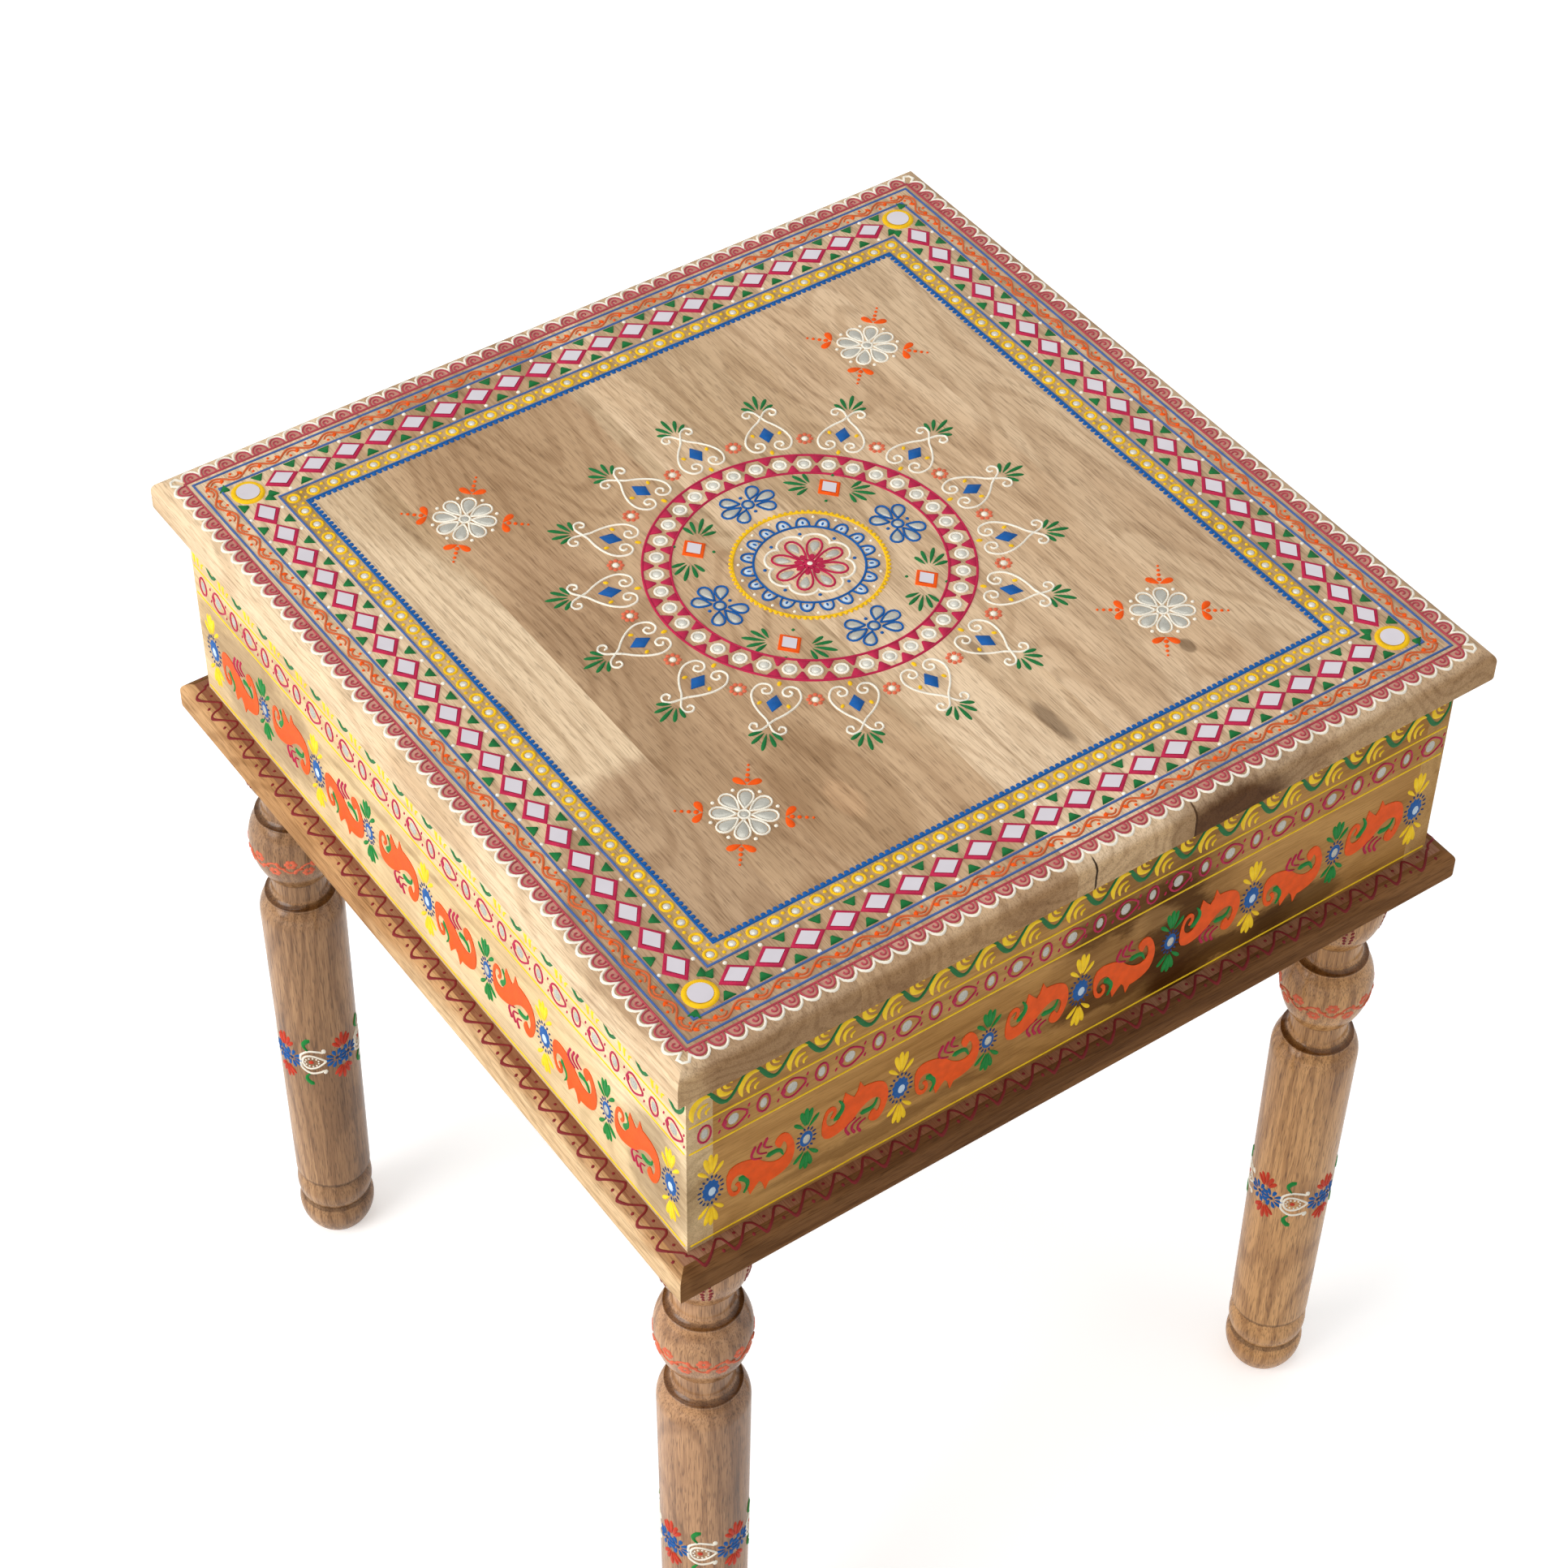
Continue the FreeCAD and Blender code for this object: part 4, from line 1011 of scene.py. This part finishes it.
                # Small curls lie in the troughs and large ones under the crests
                size = 1.0 if up > 0 else 0.74
                spot = brush.at(-edge + (k + 0.5) * period / 2, self.vine, 0.0, size, -up * size)
                for points, thick in self.crescents:
                    bow = smooth(points, 4)
                    thin = [0.4 + thick * math.sin(math.pi * (i + 0.5) / len(bow)) for i in range(len(bow))]
                    spot.stroke("sun", bow, thin, height=0.4)
            pitch = 2 * edge / self.eyes
            for k in range(self.eyes):
                spot = brush.at(-edge + (k + 0.5) * pitch, (self.first + self.second) / 2)
                if k % 2:
                    side_line = smooth([(5.9, 0.9), (3.0, 3.5), (-0.4, 5.0), (-3.4, 3.6), (-5.2, 0.0)], 4)
                    shape = side_line + [(x, -y) for x, y in side_line[-2::-1]]
                    spot.at(-0.3, 0).mound("silver", circle(2.5, 12, 1.25), 0.45)
                    spot.at(-4.3, 0).mound("crimson", circle(1.2, 8, 1.7), 0.4)
                else:
                    shape = circle(2.9, 14, 1.65)
                    spot.mound("silver", circle(1.7, 12, 1.7), 0.45)
                spot.stroke("crimson", shape, 1.0, closed=True, height=0.45)
                for level in (-3.4, 3.4):
                    spot.at(pitch / 2, level, -0.35).mound("crimson", circle(0.5, 7, 2.3), 0.35)
            for k in range(-2, 3):
                self.flower(brush.at(k * 89.5, self.frieze), True)
            for u in (-134.5, -46.5, 46.5, 134.5):
                self.flower(brush.at(u, self.frieze), False)
            for k in range(8):
                down = 1 if k % 2 == 0 else -1
                self.paisley(brush.at((k - 3.5) * 44.6, self.frieze - 3.0 * down, 0.0, 0.98, 1.04 * down))
            brush.make(f"wall_{side}_paint", "box")
        return {"FINISHED"}


class TABLE_OT_base_paint(bpy.types.Operator):
    """Paint the dark red zigzag on the ledge of the base"""
    bl_idname = "table.base_paint"
    bl_label = "Base paint"

    # Teeth of the zigzag along one side
    teeth = 27

    def execute(self, context):
        brush = Brush(base_plane)
        hand = random.Random(31)
        frame_band(brush, "maroon_wash", WALL_HALF + 4.9, WALL_HALF)
        inner, outer = WALL_HALF + 1.2, WALL_HALF + 8.0
        step = 2 * inner / self.teeth
        for side in brush.sides():
            path = [(-inner, -inner)]
            for k in range(self.teeth):
                u = -inner + k * step
                # Each wave leans, steep on one side and slow on the other
                path += [(u + step * 0.12, -inner - 1.6), (u + step * 0.24, -outer + 0.5),
                         (u + step * 0.38, -outer), (u + step * 0.62, -outer + 2.2),
                         (u + step * 0.9, -inner - 0.4), (u + step, -inner)]
                side.dot("maroon", u + step * 0.5, -inner - 1.2, 0.8, 6, 0.35)
                side.dot("maroon", u + step * 0.95, -outer + 1.0, 0.8, 6, 0.35)
            side.stroke("maroon", smooth(shaken(path, hand, 0.25), 3), 1.2, height=0.35)
        brush.make("base_zigzag", "box")
        return {"FINISHED"}


class TABLE_OT_leg_paint(bpy.types.Operator):
    """Paint the flower bands on the four legs"""
    bl_idname = "table.leg_paint"
    bl_label = "Leg paint"

    # Heights of the band, the ball and the crown, and waves of the vine round the ball
    level, ball, crown = 141.0, 279.0, 327.0
    waves = 8

    def execute(self, context):
        level, ball, waves = self.level, self.ball, self.waves
        lap = TURN * LEG_SPAN
        for leg in LEGS:
            brush = Brush(leg_round(leg))
            for k in range(4):
                fish = brush.at((k + 0.6) * lap / 4, level)
                for side in (-1, 1):
                    wing = smooth([(-6.6, 0.0), (-6.2, 4.6), (-2.0, 8.0), (2.6, 7.6), (4.8, 6.6)], 4)
                    half = fish.at(0, 0, 0.0, 1.0, side)
                    half.stroke("white", wing, 1.3, height=0.35)
                    half.at(5.4, 7.6, 0.2).mound("white", circle(1.15, 8, 1.5), 0.4)
                    comma(half.at(-2.6, 12.4, -0.2), "leaf", 7.2, 3.0)
                drop = [(-y + 6.2, x) for x, y in teardrop(11.8, 9.4, 18)]
                fish.stroke("white", drop, 1.2, closed=True, height=0.35)
                for j in range(11):
                    a = TURN * (j + 0.5) / 11
                    fish.dot("white", -0.8 + 3.4 * math.cos(a), 2.9 * math.sin(a), 0.55, 6, 0.35)
                fish.dot("brick", -1.2, 0, 1.3, 8, 0.35)
                # Two blue flowers side by side between the paisleys, with red fans above and below
                for aside in (-3.5, 3.5):
                    bloom = brush.at((k + 0.1) * lap / 4 + aside, level)
                    for j in range(10):
                        leaf = bloom.at(0, 0, TURN * (j + 0.5) / 10)
                        leaf.at(0, 1.7).mound("blue", teardrop(4.8, 2.0), 0.35)
                    bloom.dot("navy", 0, 0, 1.1, 8, 0.4)
                for side in (1, -1):
                    fan(brush.at((k + 0.1) * lap / 4, level + side * 4.6, 0.0, 1.0, side), "brick",
                        12.4, 2.2, 5, 0.62, 0.72)
            # Orange vine with ring flowers round the ball, and dark red sprays on the crown
            wave = [(t * lap / (12 * waves), ball - 2.6 * math.sin(TURN * t / 12)) for t in range(12 * waves)]
            brush.stroke("coral", wave + [(lap, ball)], 1.0, height=0.3)
            for k in range(2 * waves):
                up = 1 if k % 2 else -1
                spot = brush.at((k + 0.5) * lap / (2 * waves), ball - 3.1 * up, 0.0, 1.0, up)
                for j in range(6):
                    spot.round(1.8, TURN * j / 6).dot("coral", 0, 0, 1.3, 6, 0.3)
                comma(spot.at(3.2, 4.6, 0.9), "coral", 4.4, 1.9)
                spot.dot("coral", -2.6, 4.4, 0.8, 6, 0.3)
            for k in range(6):
                spray = brush.at((k + 0.5) * lap / 6, self.crown)
                for rise, radius in ((-3.0, 1.0), (-0.6, 1.2), (1.8, 1.3), (4.4, 1.1), (6.6, 0.8)):
                    for lean in (-1, 1):
                        leaf = spray.at(lean * 1.3 * radius, rise, -lean * 0.5)
                        leaf.mound("maroon", circle(radius * 0.7, 7, 1.5), 0.3)
            brush.make(f"{leg}_paint", "box")
        return {"FINISHED"}


class TABLE_OT_stage(bpy.types.Operator):
    """Set the pale floor, the soft light and the camera"""
    bl_idname = "table.stage"
    bl_label = "Stage"

    # Name, place and size in metres, and watts
    lamps = (("key_softbox", (-2.2, 0.1, 1.25), 1.8, 44.0), ("fill_softbox", (1.2, -2.1, 1.2), 1.8, 5.5),
             ("top_softbox", (-0.2, 0.2, 2.4), 1.8, 17.0))
    floor_radius, floor_sides = 6, 96
    target = Vector((-0.0025, 0.0121, 0.35))
    azimuth, elevation, roll, distance, lens = -35.75, 45.5, 1.0, 1.6135, 83.85

    def seen_plainly(self, tree):
        """One where the camera or a mirror looks at the backdrop, none where it only gives light."""
        path = add(tree, "ShaderNodeLightPath").outputs
        seen = path["Is Camera Ray"]
        for ray in ("Is Glossy Ray", "Is Transmission Ray"):
            seen = add(tree, "ShaderNodeMath", {0: seen, 1: path[ray]}, operation="MAXIMUM").outputs[0]
        return seen

    def execute(self, context):
        scene = context.scene
        scene.view_settings.view_transform = "Standard"
        mesh = bpy.data.meshes.new("floor")
        ring = [(x, y, 0.0) for x, y in circle(self.floor_radius, self.floor_sides)]
        mesh.from_pydata(ring, [], [tuple(range(self.floor_sides))])
        floor = bpy.data.objects.new("floor", mesh)
        scene.collection.objects.link(floor)
        # Matt painted studio floor, white with a barely seen mottle
        material, tree, shader = new_material("matt_studio_floor")
        spot = add(tree, "ShaderNodeTexCoord").outputs["Object"]
        mottle = add(tree, "ShaderNodeTexNoise", {"Vector": spot, "Scale": 1 / (300 * MM),
                                                  "Detail": 2.0}).outputs["Fac"]
        tone = add(tree, "ShaderNodeMix", {0: mottle, 6: (*linear("#F6F6F5"), 1), 7: (*linear("#FBFBFB"), 1)},
                   data_type="RGBA").outputs[2]
        # Away from the object the floor runs out into the white backdrop
        reach = add(tree, "ShaderNodeVectorMath", {0: spot}, operation="LENGTH").outputs["Value"]
        white = add(tree, "ShaderNodeMapRange", {"Value": reach, "From Min": 0.5, "From Max": 1.5,
                                                 "To Min": 0.41}, interpolation_type="SMOOTHSTEP").outputs[0]
        lift = add(tree, "ShaderNodeMath", {0: white, 1: self.seen_plainly(tree)},
                   operation="MULTIPLY").outputs[0]
        feed(tree, shader, {"Base Color": tone, "Roughness": 0.8, "Emission Color": (1, 1, 1, 1),
                            "Emission Strength": lift})
        mesh.materials.append(material)

        world = bpy.data.worlds.new("studio")
        world.use_nodes = True
        tree = world.node_tree
        tree.nodes.clear()
        level = add(tree, "ShaderNodeMapRange", {"Value": self.seen_plainly(tree), "To Min": 0.45}).outputs[0]
        backdrop = add(tree, "ShaderNodeBackground", {"Color": (1, 1, 1, 1), "Strength": level})
        add(tree, "ShaderNodeOutputWorld", {"Surface": backdrop.outputs[0]})
        scene.world = world

        for name, place, size, power in self.lamps:
            lamp = bpy.data.lights.new(name, "AREA")
            lamp.shape = "DISK"
            lamp.size = size
            lamp.energy = power
            piece = bpy.data.objects.new(name, lamp)
            piece.location = place
            piece.rotation_euler = (self.target - Vector(place)).to_track_quat("-Z", "Y").to_euler()
            scene.collection.objects.link(piece)

        az, el = math.radians(self.azimuth), math.radians(self.elevation)
        back = Vector((math.sin(az) * math.cos(el), -math.cos(az) * math.cos(el), math.sin(el)))
        lens = bpy.data.cameras.new("camera")
        lens.lens = self.lens
        lens.sensor_width = 36.0
        camera = bpy.data.objects.new("camera", lens)
        camera.location = self.target + back * self.distance
        level = Quaternion((0, 0, 1), math.radians(self.roll))
        camera.rotation_euler = ((-back).to_track_quat("-Z", "Y") @ level).to_euler()
        scene.collection.objects.link(camera)
        scene.camera = camera
        return {"FINISHED"}


OPERATORS = (TABLE_OT_wood, TABLE_OT_fittings, TABLE_OT_lid_border, TABLE_OT_mirror_band, TABLE_OT_rosettes,
             TABLE_OT_mandala, TABLE_OT_wall_paint, TABLE_OT_base_paint, TABLE_OT_leg_paint, TABLE_OT_stage)


class TABLE_PT_sidebar(bpy.types.Panel):
    """Sizes, colours and building steps of the table"""
    bl_idname = "TABLE_PT_sidebar"
    bl_label = "Painted storage table"
    bl_space_type = "VIEW_3D"
    bl_region_type = "UI"
    bl_category = "Table"

    def draw(self, context):
        for group in (context.scene.table_sizes, context.scene.table_colours):
            for name in group.__annotations__:
                self.layout.prop(group, name)
        for step in OPERATORS:
            self.layout.operator(step.bl_idname)


CLASSES = (TableSizes, TableColours, *OPERATORS, TABLE_PT_sidebar)


def register():
    for item in CLASSES:
        bpy.utils.register_class(item)
    bpy.types.Scene.table_sizes = PointerProperty(type=TableSizes)
    bpy.types.Scene.table_colours = PointerProperty(type=TableColours)


def unregister():
    del bpy.types.Scene.table_colours
    del bpy.types.Scene.table_sizes
    for item in reversed(CLASSES):
        bpy.utils.unregister_class(item)


def main():
    """Builds every piece in order."""
    register()
    for step in OPERATORS:
        family, action = step.bl_idname.split(".")
        getattr(getattr(bpy.ops, family), action)()


if __name__ == "__main__":
    main()
